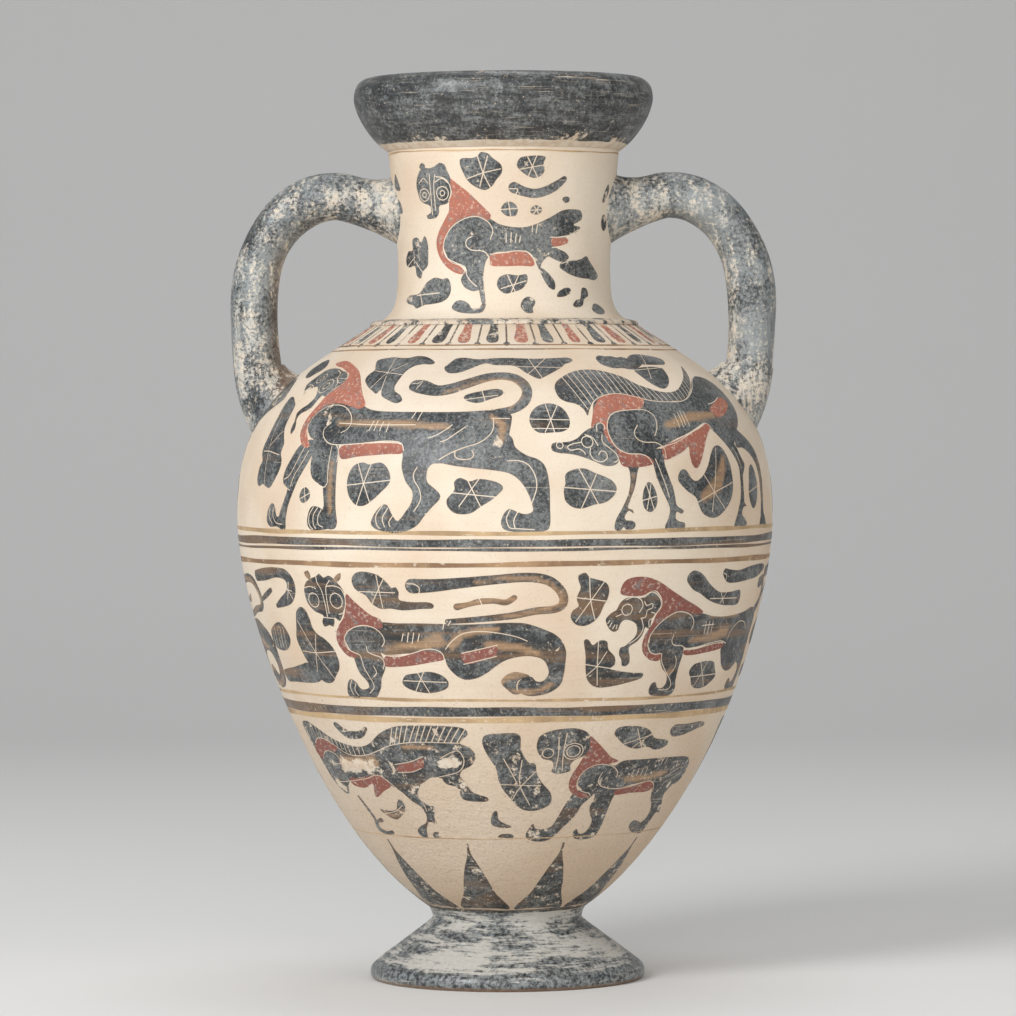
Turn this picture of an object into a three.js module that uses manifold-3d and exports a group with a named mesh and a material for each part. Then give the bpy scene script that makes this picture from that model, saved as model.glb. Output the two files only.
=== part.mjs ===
// A neck-amphora as a potter assembles it: the mouth, the neck, the two thrown body sections and the foot are
// stacked on rebated joints, a clay coil covers the neck joint, and two rod handles are luted on.
// Millimetres, +Z up, origin under the foot on the pot's axis, handles along X.
import * as THREE from "three";
import { mergeVertices } from "three/addons/utils/BufferGeometryUtils.js";
import Module from "manifold-3d";

const wasm = await Module();
wasm.setup();

// Driving dimensions.
const HEIGHT = 400; // foot to lip
const MOUTH_R = 66.5; // widest point of the mouth
const MOUTH_BASE_Z = 367.5; // joint of mouth and neck
const NECK_R = 47.2; // narrowest point of the neck
const NECK_WAIST_Z = 317;
const NECK_BASE_Z = 290; // joint of neck and shoulder
const BELLY_R = 119.2; // greatest radius of the body
const BELLY_Z = 206; // joint of the two body sections
const FOOT_TOP_Z = 30; // joint of body and foot
const WAIST_R = 34; // body radius at the foot
const FOOT_R = 62;
const WALL = 6;
const FLOOR = 9; // thickness of the body's floor
const GAP = 0.3; // bed of slip left at every joint
const STEP = 3; // height of the rebate in a joint
const MOUTH_SEAT_R = 48.2; // radius of the rebate in each joint
const NECK_SEAT_R = 47;
const BODY_SEAT_R = BELLY_R - WALL / 2;
const SEGMENTS = 48; // facets round the pot

// Handles: a rod of oval section, thickest across the pot's Y.
const HANDLE_THICK = 20.8;
const HANDLE_DEPTH = 23;
const HANDLE_SIDES = 12;
const HANDLE_STEPS = 28;
const LUTING_FOOT = [2.8, 2.4]; // width and height round the handle's root
const LUTING_TOP = [1.6, 4.6];
const HANDLE_PATH = [
  [43, 338.6],
  [56, 342.8],
  [65, 345.8],
  [75, 347.8],
  [86.5, 345.6],
  [97.2, 338.6],
  [104.8, 328.5],
  [109.3, 317],
  [111.2, 304],
  [111.4, 290],
  [110.8, 277],
  [109, 264],
  [105.4, 252],
  [99.5, 240],
];

const CLAY = 0xd8c09c;
const SLIP = 0x2b2f35;

// Profile helpers: a profile is a list of [radius, height].
function curve(from, control1, control2, to, steps) {
  const vector = ([r, z]) => new THREE.Vector2(r, z);
  const bezier = new THREE.CubicBezierCurve(
    vector(from),
    vector(control1),
    vector(control2),
    vector(to),
  );
  return bezier.getPoints(steps).map((p) => [p.x, p.y]);
}

// Outer surfaces, each from its upper end to its lower end.
const mouthOuter = [
  ...curve(
    [MOUTH_R - 7, HEIGHT],
    [MOUTH_R - 2.5, HEIGHT - 0.4],
    [MOUTH_R, HEIGHT - 4],
    [MOUTH_R, HEIGHT - 9],
    4,
  ),
  ...curve(
    [MOUTH_R, HEIGHT - 9],
    [MOUTH_R, HEIGHT - 14.5],
    [NECK_R + 13.7, MOUTH_BASE_Z + 6.4],
    [NECK_R + 4.6, MOUTH_BASE_Z],
    6,
  ).slice(1),
];
const neckOuter = [
  ...curve(
    [NECK_R + 4, MOUTH_BASE_Z],
    [NECK_R + 0.5, NECK_WAIST_Z + 9],
    [NECK_R, NECK_WAIST_Z + 8],
    [NECK_R, NECK_WAIST_Z],
    3,
  ),
  ...curve(
    [NECK_R, NECK_WAIST_Z],
    [NECK_R, NECK_WAIST_Z - 17.6],
    [NECK_R + 1.6, NECK_BASE_Z + 6.4],
    [NECK_R + 8.4, NECK_BASE_Z + 1.8],
    6,
  ).slice(1),
];
const shoulderOuter = curve(
  [NECK_R + 12.3, NECK_BASE_Z],
  [BELLY_R - 24.2, NECK_BASE_Z - 23.1],
  [BELLY_R, BELLY_Z + 50.8],
  [BELLY_R, BELLY_Z],
  10,
);
const bellyOuter = curve(
  [BELLY_R, BELLY_Z],
  [BELLY_R, BELLY_Z - 42.4],
  [BELLY_R - 32.8, FOOT_TOP_Z + 37.6],
  [WAIST_R + 1, FOOT_TOP_Z + 2],
  11,
);
const footOuter = [
  ...curve(
    [WAIST_R, FOOT_TOP_Z],
    [WAIST_R - 1.2, FOOT_TOP_Z - 2.6],
    [WAIST_R + 0.4, FOOT_TOP_Z - 4.9],
    [WAIST_R + 6, FOOT_TOP_Z - 8.6],
    5,
  ),
  ...curve(
    [FOOT_R - 1.2, 7.4],
    [FOOT_R, 6.4],
    [FOOT_R + 0.6, 3],
    [FOOT_R - 1.2, 0.9],
    4,
  ),
  [FOOT_R - 2.4, 0],
];

// Turns a closed profile, listed with the outside surface going down, about the pot's axis.
function turned(profile) {
  const points = [...profile].reverse().map(([r, z]) => new THREE.Vector2(r, z));
  points.push(points[0].clone());
  return new THREE.LatheGeometry(points, SEGMENTS).rotateX(Math.PI / 2);
}

// Moves a profile out along its normals.
function grown(profile, distance) {
  return profile.map(([r, z], i) => {
    const [r0, z0] = profile[Math.max(i - 1, 0)];
    const [r1, z1] = profile[Math.min(i + 1, profile.length - 1)];
    const length = Math.hypot(r1 - r0, z1 - z0);
    return [r + (distance * (z0 - z1)) / length, z + (distance * (r1 - r0)) / length];
  });
}

// A filled solid under an outer surface, grown by some millimetres.
function filled(outer, distance) {
  const skin = grown(outer, distance).reverse();
  const points = [[0, skin[0][1]], ...skin, [0, skin[skin.length - 1][1]]];
  const vectors = points.map(([r, z]) => new THREE.Vector2(r, z));
  return solid(new THREE.LatheGeometry(vectors, SEGMENTS).rotateX(Math.PI / 2));
}

// To and from the solids that are cut and joined.
function solid(geometry) {
  const bare = geometry.clone();
  bare.deleteAttribute("normal");
  bare.deleteAttribute("uv");
  const merged = mergeVertices(bare, 1e-3);
  return new wasm.Manifold(
    new wasm.Mesh({
      numProp: 3,
      vertProperties: merged.attributes.position.array,
      triVerts: new Uint32Array(merged.index.array),
    }),
  );
}

function geometryOf(made) {
  const mesh = made.getMesh();
  const geometry = new THREE.BufferGeometry();
  geometry.setAttribute("position", new THREE.BufferAttribute(mesh.vertProperties, 3));
  geometry.setIndex(new THREE.BufferAttribute(mesh.triVerts, 1));
  geometry.computeVertexNormals();
  return geometry;
}

// The lower end of a section: its inner half is cut back, to sit over the tongue of the section below.
function rebate(outerR, seatR, innerR, z) {
  return [
    [outerR, z + GAP / 2],
    [seatR + GAP / 2, z + GAP / 2],
    [seatR + GAP / 2, z + STEP + GAP / 2],
    [innerR, z + STEP + GAP / 2],
  ];
}

// The upper end of a section: its inner half stands up as a tongue.
function tongue(outerR, seatR, innerR, z) {
  return [
    [innerR, z + STEP - GAP / 2],
    [seatR - GAP / 2, z + STEP - GAP / 2],
    [seatR - GAP / 2, z - GAP / 2],
    [outerR, z - GAP / 2],
  ];
}

function mouth() {
  const innerR = NECK_R + 4 - WALL;
  const lipR = MOUTH_R - 14.5;
  return turned([
    ...mouthOuter.slice(0, -1),
    ...rebate(NECK_R + 4.6, MOUTH_SEAT_R, innerR, MOUTH_BASE_Z),
    ...curve(
      [innerR, MOUTH_BASE_Z + STEP + 1],
      [innerR + 1, HEIGHT - 16],
      [lipR - 2, HEIGHT - 12],
      [lipR, HEIGHT - 2],
      5,
    ),
    [lipR + 2, HEIGHT],
  ]);
}

function neck() {
  const innerR = NECK_R - WALL;
  return turned([
    ...neckOuter.slice(1),
    ...rebate(NECK_R + 8.4, NECK_SEAT_R, innerR, NECK_BASE_Z),
    [innerR, NECK_WAIST_Z],
    [innerR + 1.5, NECK_WAIST_Z + 24],
    ...tongue(NECK_R + 4, MOUTH_SEAT_R, NECK_R + 4 - WALL, MOUTH_BASE_Z),
  ]);
}

// The coil of clay pressed into the corner between neck and shoulder.
function collar() {
  const innerR = NECK_R + 8.4 + GAP;
  const low = NECK_BASE_Z + GAP / 2;
  return turned([
    [innerR, low + 2.7],
    [innerR + 1.5, low + 2.9],
    [innerR + 2.8, low + 2],
    [innerR + 3.2, low + 0.9],
    [innerR + 3, low],
    [innerR, low],
  ]);
}

function shoulder() {
  const innerTop = NECK_R - WALL;
  const innerLow = BELLY_R - WALL;
  return turned([
    ...shoulderOuter.slice(1, -1),
    ...rebate(BELLY_R, BODY_SEAT_R, innerLow, BELLY_Z),
    ...curve(
      [innerLow, BELLY_Z + STEP + 1],
      [innerLow, BELLY_Z + 46],
      [BELLY_R - 28, NECK_BASE_Z - 29],
      [innerTop, NECK_BASE_Z - 5],
      6,
    ),
    ...tongue(NECK_R + 12.3, NECK_SEAT_R, innerTop, NECK_BASE_Z),
  ]);
}

function belly() {
  const innerTop = BELLY_R - WALL;
  const bossR = WAIST_R - 12;
  return turned([
    ...tongue(BELLY_R, BODY_SEAT_R, innerTop, BELLY_Z).slice(1),
    ...bellyOuter.slice(1),
    [WAIST_R, FOOT_TOP_Z + GAP / 2],
    [bossR, FOOT_TOP_Z + GAP / 2],
    [bossR - 1, FOOT_TOP_Z - STEP + GAP / 2],
    [0, FOOT_TOP_Z - STEP + GAP / 2],
    [0, FOOT_TOP_Z + FLOOR],
    ...curve(
      [WAIST_R - 14, FOOT_TOP_Z + FLOOR],
      [BELLY_R - 41, FOOT_TOP_Z + 46],
      [innerTop, BELLY_Z - 46],
      [innerTop, BELLY_Z - 1],
      7,
    ),
    [innerTop, BELLY_Z + STEP - GAP / 2],
  ]);
}

function foot() {
  const seatR = WAIST_R - 12 + GAP;
  const ringR = FOOT_R - 12; // inner edge of the resting ring
  return turned([
    ...footOuter.map(([r, z]) => [r, Math.min(z, FOOT_TOP_Z - GAP / 2)]),
    [ringR, 0],
    ...curve([ringR - 1, 1], [ringR - 8, 9], [24, 17], [0, 18], 5),
    [0, FOOT_TOP_Z - STEP - GAP / 2],
    [seatR - 1, FOOT_TOP_Z - STEP - GAP / 2],
    [seatR, FOOT_TOP_Z - GAP / 2],
  ]);
}

// An oval rod along the handle's path, grown all round by some millimetres.
function rod(side, grow = 0) {
  const path = new THREE.CatmullRomCurve3(
    HANDLE_PATH.map(([x, z]) => new THREE.Vector3(side * x, 0, z)),
  );
  const oval = new THREE.Shape();
  for (let i = 0; i < HANDLE_SIDES; i++) {
    const angle = (i * 2 * Math.PI) / HANDLE_SIDES;
    const x = (HANDLE_DEPTH / 2 + grow) * Math.cos(angle);
    const y = (HANDLE_THICK / 2 + grow) * Math.sin(angle);
    if (i === 0) oval.moveTo(x, y);
    else oval.lineTo(x, y);
  }
  return solid(
    new THREE.ExtrudeGeometry(oval, {
      steps: HANDLE_STEPS,
      bevelEnabled: false,
      extrudePath: path,
    }),
  );
}

function handle(side) {
  return geometryOf(rod(side).subtract(filled(neckOuter, GAP)).subtract(filled(shoulderOuter, GAP)));
}

// The clay worked round a handle's root on the wall it is luted to: low and broad, then higher and narrow.
function luting(side, wall) {
  const ring = ([width, height]) => rod(side, width).intersect(filled(wall, height));
  return geometryOf(
    ring(LUTING_FOOT)
      .add(ring(LUTING_TOP))
      .subtract(filled(wall, GAP))
      .subtract(rod(side, GAP)),
  );
}

function piece(name, geometry, color, roughness) {
  const material = new THREE.MeshStandardMaterial({ color, roughness, metalness: 0 });
  const mesh = new THREE.Mesh(geometry, material);
  mesh.name = name;
  return mesh;
}

const amphora = new THREE.Group();
amphora.add(
  piece("mouth", mouth(), SLIP, 0.5),
  piece("neck", neck(), CLAY, 0.8),
  piece("neck_collar", collar(), CLAY, 0.8),
  piece("shoulder", shoulder(), CLAY, 0.8),
  piece("belly", belly(), CLAY, 0.8),
  piece("foot", foot(), SLIP, 0.6),
);
for (const [label, side] of [
  ["left", -1],
  ["right", 1],
]) {
  amphora.add(
    piece(`handle_${label}`, handle(side), SLIP, 0.5),
    piece(`handle_${label}_upper_luting`, luting(side, neckOuter), SLIP, 0.6),
    piece(`handle_${label}_lower_luting`, luting(side, shoulderOuter), SLIP, 0.6),
  );
}

export default amphora;
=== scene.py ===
"""The looks of the amphora: turned clay skins, rod handles and painted animal friezes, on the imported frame.

Shapes are worked out in millimetres, in the row frame, and turned into metres when a mesh is made. A painted
figure is drawn flat: u runs round the pot and v up its wall, in millimetres, from the frieze's ground line.
"""

import math

import bpy
import numpy as np
from mathutils import Matrix, Vector
from mathutils.geometry import delaunay_2d_cdt


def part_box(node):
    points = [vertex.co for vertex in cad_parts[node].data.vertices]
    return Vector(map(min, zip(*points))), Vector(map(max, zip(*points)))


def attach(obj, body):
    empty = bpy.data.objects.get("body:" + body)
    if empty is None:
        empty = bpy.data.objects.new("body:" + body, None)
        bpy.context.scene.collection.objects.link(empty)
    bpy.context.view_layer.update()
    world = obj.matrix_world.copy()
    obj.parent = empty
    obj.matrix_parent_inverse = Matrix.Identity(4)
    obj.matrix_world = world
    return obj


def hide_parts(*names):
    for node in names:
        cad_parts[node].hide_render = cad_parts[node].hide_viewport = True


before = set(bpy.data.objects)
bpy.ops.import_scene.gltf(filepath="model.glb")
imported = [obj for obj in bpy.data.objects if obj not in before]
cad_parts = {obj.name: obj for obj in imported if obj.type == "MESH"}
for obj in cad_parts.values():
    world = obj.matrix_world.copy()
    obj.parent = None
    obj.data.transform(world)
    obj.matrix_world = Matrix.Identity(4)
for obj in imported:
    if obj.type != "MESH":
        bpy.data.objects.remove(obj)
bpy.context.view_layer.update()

MM = 0.001


# ---------------------------------------------------------------- sizes, from the frame

def low(node):
    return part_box(node)[0] / MM


def high(node):
    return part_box(node)[1] / MM


HEIGHT = high("mouth").z
MOUTH_R = high("mouth").x
MOUTH_BASE = low("mouth").z
NECK_BASE = low("neck").z
NECK_R = high("neck").x - 8.4
BODY_R = high("shoulder").x
SEAM = low("shoulder").z  # where the two halves of the body meet
FOOT_TOP = high("foot").z
FOOT_R = high("foot").x
HANDLE_REACH = high("handle_right").x
WAIST_R = 34  # between belly and foot
WALL = 6
NECK_WAIST = NECK_BASE + 27

TURN_STEPS = 320  # facets round the pot
SHARP_DEGREES = 35


# ---------------------------------------------------------------- profiles

def bezier(start, control_1, control_2, end, count):
    """Points (radius, height) along a cubic curve."""
    t = np.linspace(0, 1, count + 1)[:, None]
    a, b, c, d = (np.array(p, float) for p in (start, control_1, control_2, end))
    return (1 - t) ** 3 * a + 3 * (1 - t) ** 2 * t * b + 3 * (1 - t) * t**2 * c + t**3 * d


def joined(*curves):
    return np.vstack([curves[0]] + [np.array(c, float)[1:] for c in curves[1:]])


BELLY = bezier(
    (WAIST_R + 1, FOOT_TOP + 2.2), (BODY_R - 32.8, FOOT_TOP + 37.7),
    (BODY_R, SEAM - 42.5), (BODY_R, SEAM), 100,
)
SHOULDER = bezier(
    (BODY_R, SEAM), (BODY_R, SEAM + 50.6),
    (BODY_R - 24.2, NECK_BASE - 23.2), (NECK_R + 12.3, NECK_BASE), 60,
)
NECK = joined(
    bezier((NECK_R + 8.4, NECK_BASE + 1.6), (NECK_R + 1.6, NECK_BASE + 6.2), (NECK_R, NECK_WAIST - 17.6),
           (NECK_R, NECK_WAIST), 24),
    bezier((NECK_R, NECK_WAIST), (NECK_R, NECK_WAIST + 8), (NECK_R + 0.5, NECK_WAIST + 9),
           (NECK_R + 4, MOUTH_BASE), 30),
)
MOUTH = joined(
    bezier((NECK_R + 4.6, MOUTH_BASE), (NECK_R + 13.7, MOUTH_BASE + 6.2), (MOUTH_R, HEIGHT - 14.5),
           (MOUTH_R, HEIGHT - 9), 26),
    bezier((MOUTH_R, HEIGHT - 9), (MOUTH_R, HEIGHT - 4), (MOUTH_R - 2.5, HEIGHT - 0.3),
           (MOUTH_R - 7, HEIGHT), 12),
)
FOOT = joined(
    [(FOOT_R - 2.2, 0), (FOOT_R - 1.3, 0.9)],
    bezier((FOOT_R - 1.3, 0.9), (FOOT_R - 0.2, 3), (FOOT_R - 0.8, 5.4), (FOOT_R - 2.3, 6.6), 8),
    bezier((FOOT_R - 2.3, 6.6), (FOOT_R - 10.5, 13.6), (WAIST_R + 0.5, 25),
           (WAIST_R - 0.7, FOOT_TOP - 2.8), 24),
    bezier((WAIST_R - 0.7, FOOT_TOP - 2.8), (WAIST_R - 0.6, FOOT_TOP - 1.2), (WAIST_R, FOOT_TOP + 0.6),
           (WAIST_R + 1, FOOT_TOP + 2.2), 6),
)


class Profile:
    """The outer line of a wall, going up, with its arc length."""

    def __init__(self, points):
        self.points = points
        steps = np.hypot(*np.diff(points, axis=0).T)
        self.arc = np.concatenate([[0], np.cumsum(steps)])
        along = np.gradient(points, self.arc, axis=0)
        self.out = np.column_stack([along[:, 1], -along[:, 0]])
        self.out /= np.linalg.norm(self.out, axis=1)[:, None]

    def arc_at(self, z):
        return np.interp(z, self.points[:, 1], self.arc)

    def radius_at(self, z):
        return np.interp(z, self.points[:, 1], self.points[:, 0])

    def at(self, arc, lift):
        r, z, out_r, out_z = (
            np.interp(arc, self.arc, column) for column in (*self.points.T, *self.out.T)
        )
        return r + lift * out_r, z + lift * out_z


BODY_WALL = Profile(joined(BELLY, SHOULDER))
NECK_WALL = Profile(NECK)
OFF_TRUE = 0.9
OFF_TRUE_HEIGHT = 115
OFF_TRUE_REACH = 45


def unevenness(angle, z):
    """How far the potter's wheel and hands left the wall from true, in millimetres."""
    oval = 0.22 * np.sin(2 * angle + 0.7 + z * 0.006) + 0.12 * np.sin(3 * angle + 1.9 - z * 0.011)
    rings = 0.035 * np.sin(z * 0.9 + 0.7 * np.sin(angle)) * np.sin(z * 0.071 + 1.0)
    dents = 0.06 * np.sin(5 * angle + z * 0.09) * np.sin(z * 0.05 + 2 * np.sin(angle + 1))
    return oval + rings + dents


def on_pot(angle, r, z):
    """Points in the row frame. Angle 0 is the front and grows to the right. The low belly is off true."""
    r = r + unevenness(angle, z)
    off_true = OFF_TRUE * np.exp(-(((np.asarray(z) - OFF_TRUE_HEIGHT) / OFF_TRUE_REACH) ** 2))
    return np.column_stack([r * np.sin(angle) + off_true, -r * np.cos(angle), z])


# ---------------------------------------------------------------- meshes

def make_object(name, points, faces, material):
    """An object from points in millimetres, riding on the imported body."""
    mesh = bpy.data.meshes.new(name)
    mesh.from_pydata((np.asarray(points) * MM).tolist(), [], [tuple(f) for f in faces])
    mesh.validate()
    mesh.shade_smooth()
    mesh.set_sharp_from_angle(angle=math.radians(SHARP_DEGREES))
    mesh.materials.append(material)
    made = bpy.data.objects.new(name, mesh)
    bpy.context.scene.collection.objects.link(made)
    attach(made, "root")
    return made


def turned(name, loop, material, on_axis=False):
    """Turns a closed profile about the pot's axis. A loop on the axis starts and ends there."""
    steps = TURN_STEPS
    loop = np.array(loop, float)
    angles = np.arange(steps) * 2 * math.pi / steps
    rings = loop[1:-1] if on_axis else loop
    count = len(rings)
    angle = np.repeat(angles, count)
    points = on_pot(angle, np.tile(rings[:, 0], steps), np.tile(rings[:, 1], steps))
    faces = []
    for i in range(steps):
        j = (i + 1) % steps
        for k in range(count - 1 if on_axis else count):
            n = (k + 1) % count
            faces.append((i * count + k, j * count + k, j * count + n, i * count + n))
    if on_axis:
        first, last = len(points), len(points) + 1
        points = np.vstack([points, [[0, 0, loop[0, 1]], [0, 0, loop[-1, 1]]]])
        for i in range(steps):
            j = (i + 1) % steps
            faces.append((first, j * count, i * count))
            faces.append((last, i * count + count - 1, j * count + count - 1))
    return make_object(name, points, faces, material)


# ---------------------------------------------------------------- drawing on the flat

SAMPLE = 1.1  # millimetres between points along a painted outline
GRID = 1.7  # millimetres between points inside a painted shape
ROW_PITCH = 0.87  # of the grid's spacing, for near-equilateral triangles
CLEAR_OF_EDGES = 0.35  # of the grid's spacing
CUT_WIDTH = 0.46
SLIP_LIFT = 0.07
RED_LIFT = 0.1
PAINT_SINK = -0.05
THIN_SOFT = 0.8  # millimetres over which thin paint and bare patches fade in
BARE_SOFT = 3


def smooth(points, closed, sample=SAMPLE):
    """A Catmull-Rom curve through the points."""
    p = np.array(points, float)
    if len(p) == 2:
        count = max(2, int(np.linalg.norm(p[1] - p[0]) / sample))
        return p[0] + (p[1] - p[0]) * np.linspace(0, 1, count + 1)[:, None]
    ends = (p[-1], p[0], p[1]) if closed else (2 * p[0] - p[1], 2 * p[-1] - p[-2], p[-1])
    ring = np.vstack([ends[0], p, ends[1:]]) if closed else np.vstack([ends[0], p, ends[1]])
    made = []
    for a, b, c, d in zip(ring[:-3], ring[1:-2], ring[2:-1], ring[3:]):
        count = max(1, int(round(np.linalg.norm(c - b) / sample)))
        t = (np.arange(count) / count)[:, None]
        made.append(
            0.5 * (2 * b + (c - a) * t + (2 * a - 5 * b + 4 * c - d) * t**2 + (3 * b - a - 3 * c + d) * t**3)
        )
    if not closed:
        made.append(p[-1:])
    return np.vstack(made)


def sideways(line):
    along = np.gradient(line, axis=0)
    along /= np.linalg.norm(along, axis=1)[:, None] + 1e-9
    return np.column_stack([-along[:, 1], along[:, 0]])


def brush(points):
    """The outline of a brush stroke given as (u, v, width), with round ends."""
    line = smooth(points, closed=False)
    centre, half = line[:, :2], line[:, 2:] / 2
    side = sideways(centre) * half
    turns = np.linspace(0, math.pi, 7)[1:-1, None]
    start_out, end_out = side[0], side[-1]
    start_back = np.array([-start_out[1], start_out[0]])
    end_ahead = np.array([end_out[1], -end_out[0]])
    start_cap = centre[0] - start_out * np.cos(turns) + start_back * np.sin(turns)
    end_cap = centre[-1] + end_out * np.cos(turns) + end_ahead * np.sin(turns)
    return np.vstack([centre + side, end_cap, (centre - side)[::-1], start_cap])


def inside(points, outline):
    x, y = points[:, 0], points[:, 1]
    found = np.zeros(len(points), bool)
    near = (x >= outline[:, 0].min()) & (x <= outline[:, 0].max())
    near &= (y >= outline[:, 1].min()) & (y <= outline[:, 1].max())
    px, py = x[near], y[near]
    hit = np.zeros(len(px), bool)
    for (x0, y0), (x1, y1) in zip(outline, np.roll(outline, -1, axis=0)):
        crosses = (y0 > py) != (y1 > py)
        if y1 != y0:
            hit ^= crosses & (px < x0 + (py - y0) * (x1 - x0) / (y1 - y0))
    found[near] = hit
    return found


def distance(points, starts, ends, reach=4.0, cell=8.0):
    """From each point to the nearest of some segments, or the reach where none is nearer."""
    best = np.full(len(points), reach)
    step = ends - starts
    length = (step**2).sum(1) + 1e-12
    low_end, high_end = np.minimum(starts, ends) - reach, np.maximum(starts, ends) + reach
    keys, groups = np.unique(np.floor(points / cell).astype(int), axis=0, return_inverse=True)
    order = np.argsort(groups.ravel(), kind="stable")
    counts = np.bincount(groups.ravel())
    for key, members in zip(keys, np.split(order, np.cumsum(counts)[:-1])):
        corner = key * cell
        near = np.all((low_end <= corner + cell) & (high_end >= corner), axis=1)
        if near.any():
            p = points[members][:, None, :]
            t = np.clip(((p - starts[near]) * step[near]).sum(2) / length[near], 0, 1)
            gap = np.linalg.norm(p - starts[near] - t[..., None] * step[near], axis=2)
            best[members] = np.minimum(reach, gap.min(1))
    return best


def segments(polylines):
    return np.vstack([line[:-1] for line in polylines]), np.vstack([line[1:] for line in polylines])


def closed_up(outline):
    return np.vstack([outline, outline[:1]])


def within(points, outlines):
    """Which of the points are inside any of the outlines."""
    if not outlines:
        return np.zeros(len(points), bool)
    return np.any([inside(points, outline) for outline in outlines], axis=0)


def open_edges(triangles):
    """The edges that only one triangle has."""
    sides = np.vstack([triangles[:, [0, 1]], triangles[:, [1, 2]], triangles[:, [2, 0]]])
    known = {tuple(e) for e in sides.tolist()}
    return [(a, b) for a, b in known if (b, a) not in known]


def filled(loops, lowest, highest):
    """Flat points and triangles that keep every loop's edges, with an even grid of points between them."""
    rows = np.arange(lowest[1], highest[1], GRID * ROW_PITCH)
    grid = np.array([
        (u, v)
        for k, v in enumerate(rows)
        for u in np.arange(lowest[0] + (k % 2) * GRID / 2, highest[0], GRID)
    ])
    grid = grid[distance(grid, *segments([closed_up(loop) for loop in loops])) > GRID * CLEAR_OF_EDGES]
    coords, edges = [], []
    for loop in loops:
        first = len(coords)
        coords += loop.tolist()
        edges += [(first + k, first + (k + 1) % len(loop)) for k in range(len(loop))]
    coords += grid.tolist()
    made = delaunay_2d_cdt([Vector(c) for c in coords], edges, [], 0, 1e-4, False)
    return np.array([tuple(v) for v in made[0]]), np.array(made[2])


class Ground:
    """A stretch of wall to paint on. Its ground line is at a height, and u is true at ref_radius."""

    def __init__(self, wall, base_z, ref_radius, look):
        self.wall = wall
        self.look = look
        self.base = wall.arc_at(base_z)
        self.ref_radius = ref_radius

    def place(self, flat, lift):
        r, z = self.wall.at(self.base + flat[:, 1], lift)
        return on_pot(flat[:, 0] / self.ref_radius, r, z)


def keep_value(made, key, values):
    """Keeps a number for each of a mesh's points, for its material to read."""
    attribute = made.data.attributes.new(key, "FLOAT", "POINT")
    attribute.data.foreach_set("value", values.astype(np.float32))


def layer(name, ground, flat, triangles, lift, material, values):
    """A thin closed sheet of paint over some triangles, with values kept as point attributes."""
    used = np.unique(triangles)
    number = np.full(len(flat), -1)
    number[used] = np.arange(len(used))
    top = number[triangles]
    count = len(used)
    points = np.vstack([ground.place(flat[used], lift), ground.place(flat[used], PAINT_SINK)])
    faces = top.tolist() + (top[:, ::-1] + count).tolist()
    faces += [(b, a, a + count, b + count) for a, b in open_edges(top)]
    made = make_object(name, points, faces, material)
    for key, value in values.items():
        keep_value(made, key, np.tile(value[used], 2))


def move(points, at, scale):
    p = np.array(points, float) * scale
    p[:, 0] += at[0]
    p[:, 1] += at[1]
    return p


def painted_values(flat, painted, figure, at, scale):
    """Each point's distance from the paint's edge, and how deep it is in the thin and the bare patches."""
    rim = np.array(open_edges(painted))
    values = {"edge": distance(flat, flat[rim[:, 0]], flat[rim[:, 1]])}
    for key, soft in (("thin", THIN_SOFT), ("bare", BARE_SOFT)):
        values[key] = np.zeros(len(flat))
        for stroke in figure.get(key, []):
            outline = move(brush(stroke), at, scale)
            depth = distance(flat, *segments([closed_up(outline)])) * inside(flat, outline)
            values[key] = np.maximum(values[key], np.clip(depth / soft, 0, 1))
    return values


def paint(name, ground, figure, at=(0, 0), scale=1.0):
    """Paints a figure: slip, added red on it, and cuts through both down to the clay.

    A figure's slip and red are outlines, its cuts are lines, and its strokes, thin and bare patches are lines
    with a width at each point.
    """
    slips = [move(smooth(o, True), at, scale) for o in figure.get("slip", [])]
    slips += [move(brush(s), at, scale) for s in figure.get("strokes", [])]
    reds = [move(smooth(o, True), at, scale) for o in figure.get("red", [])]
    cuts = [move(smooth(c, False), at, scale) for c in figure.get("cuts", [])]
    loops = slips + reds
    for cut in cuts:
        side = sideways(cut) * CUT_WIDTH / 2
        loops.append(np.vstack([cut + side, (cut - side)[::-1]]))
    every = np.vstack(slips + reds)
    flat, triangles = filled(loops, every.min(0), every.max(0))
    middle = flat[triangles].mean(1)
    in_slip, in_red = within(middle, slips), within(middle, reds)
    in_cut = np.zeros(len(middle), bool)
    if cuts:
        in_cut = distance(middle, *segments(cuts)) < CUT_WIDTH / 2
    values = painted_values(flat, triangles[in_slip | in_red], figure, at, scale)
    black = in_slip & ~in_red & ~in_cut
    if black.any():
        layer(name, ground, flat, triangles[black], SLIP_LIFT, SLIP[ground.look], values)
    red = in_red & ~in_cut
    if red.any():
        red_look = RED_WORN if ground.look == "patchy" else RED
        layer(name + "_red", ground, flat, triangles[red], RED_LIFT, red_look, values)


# ---------------------------------------------------------------- node materials

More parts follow.
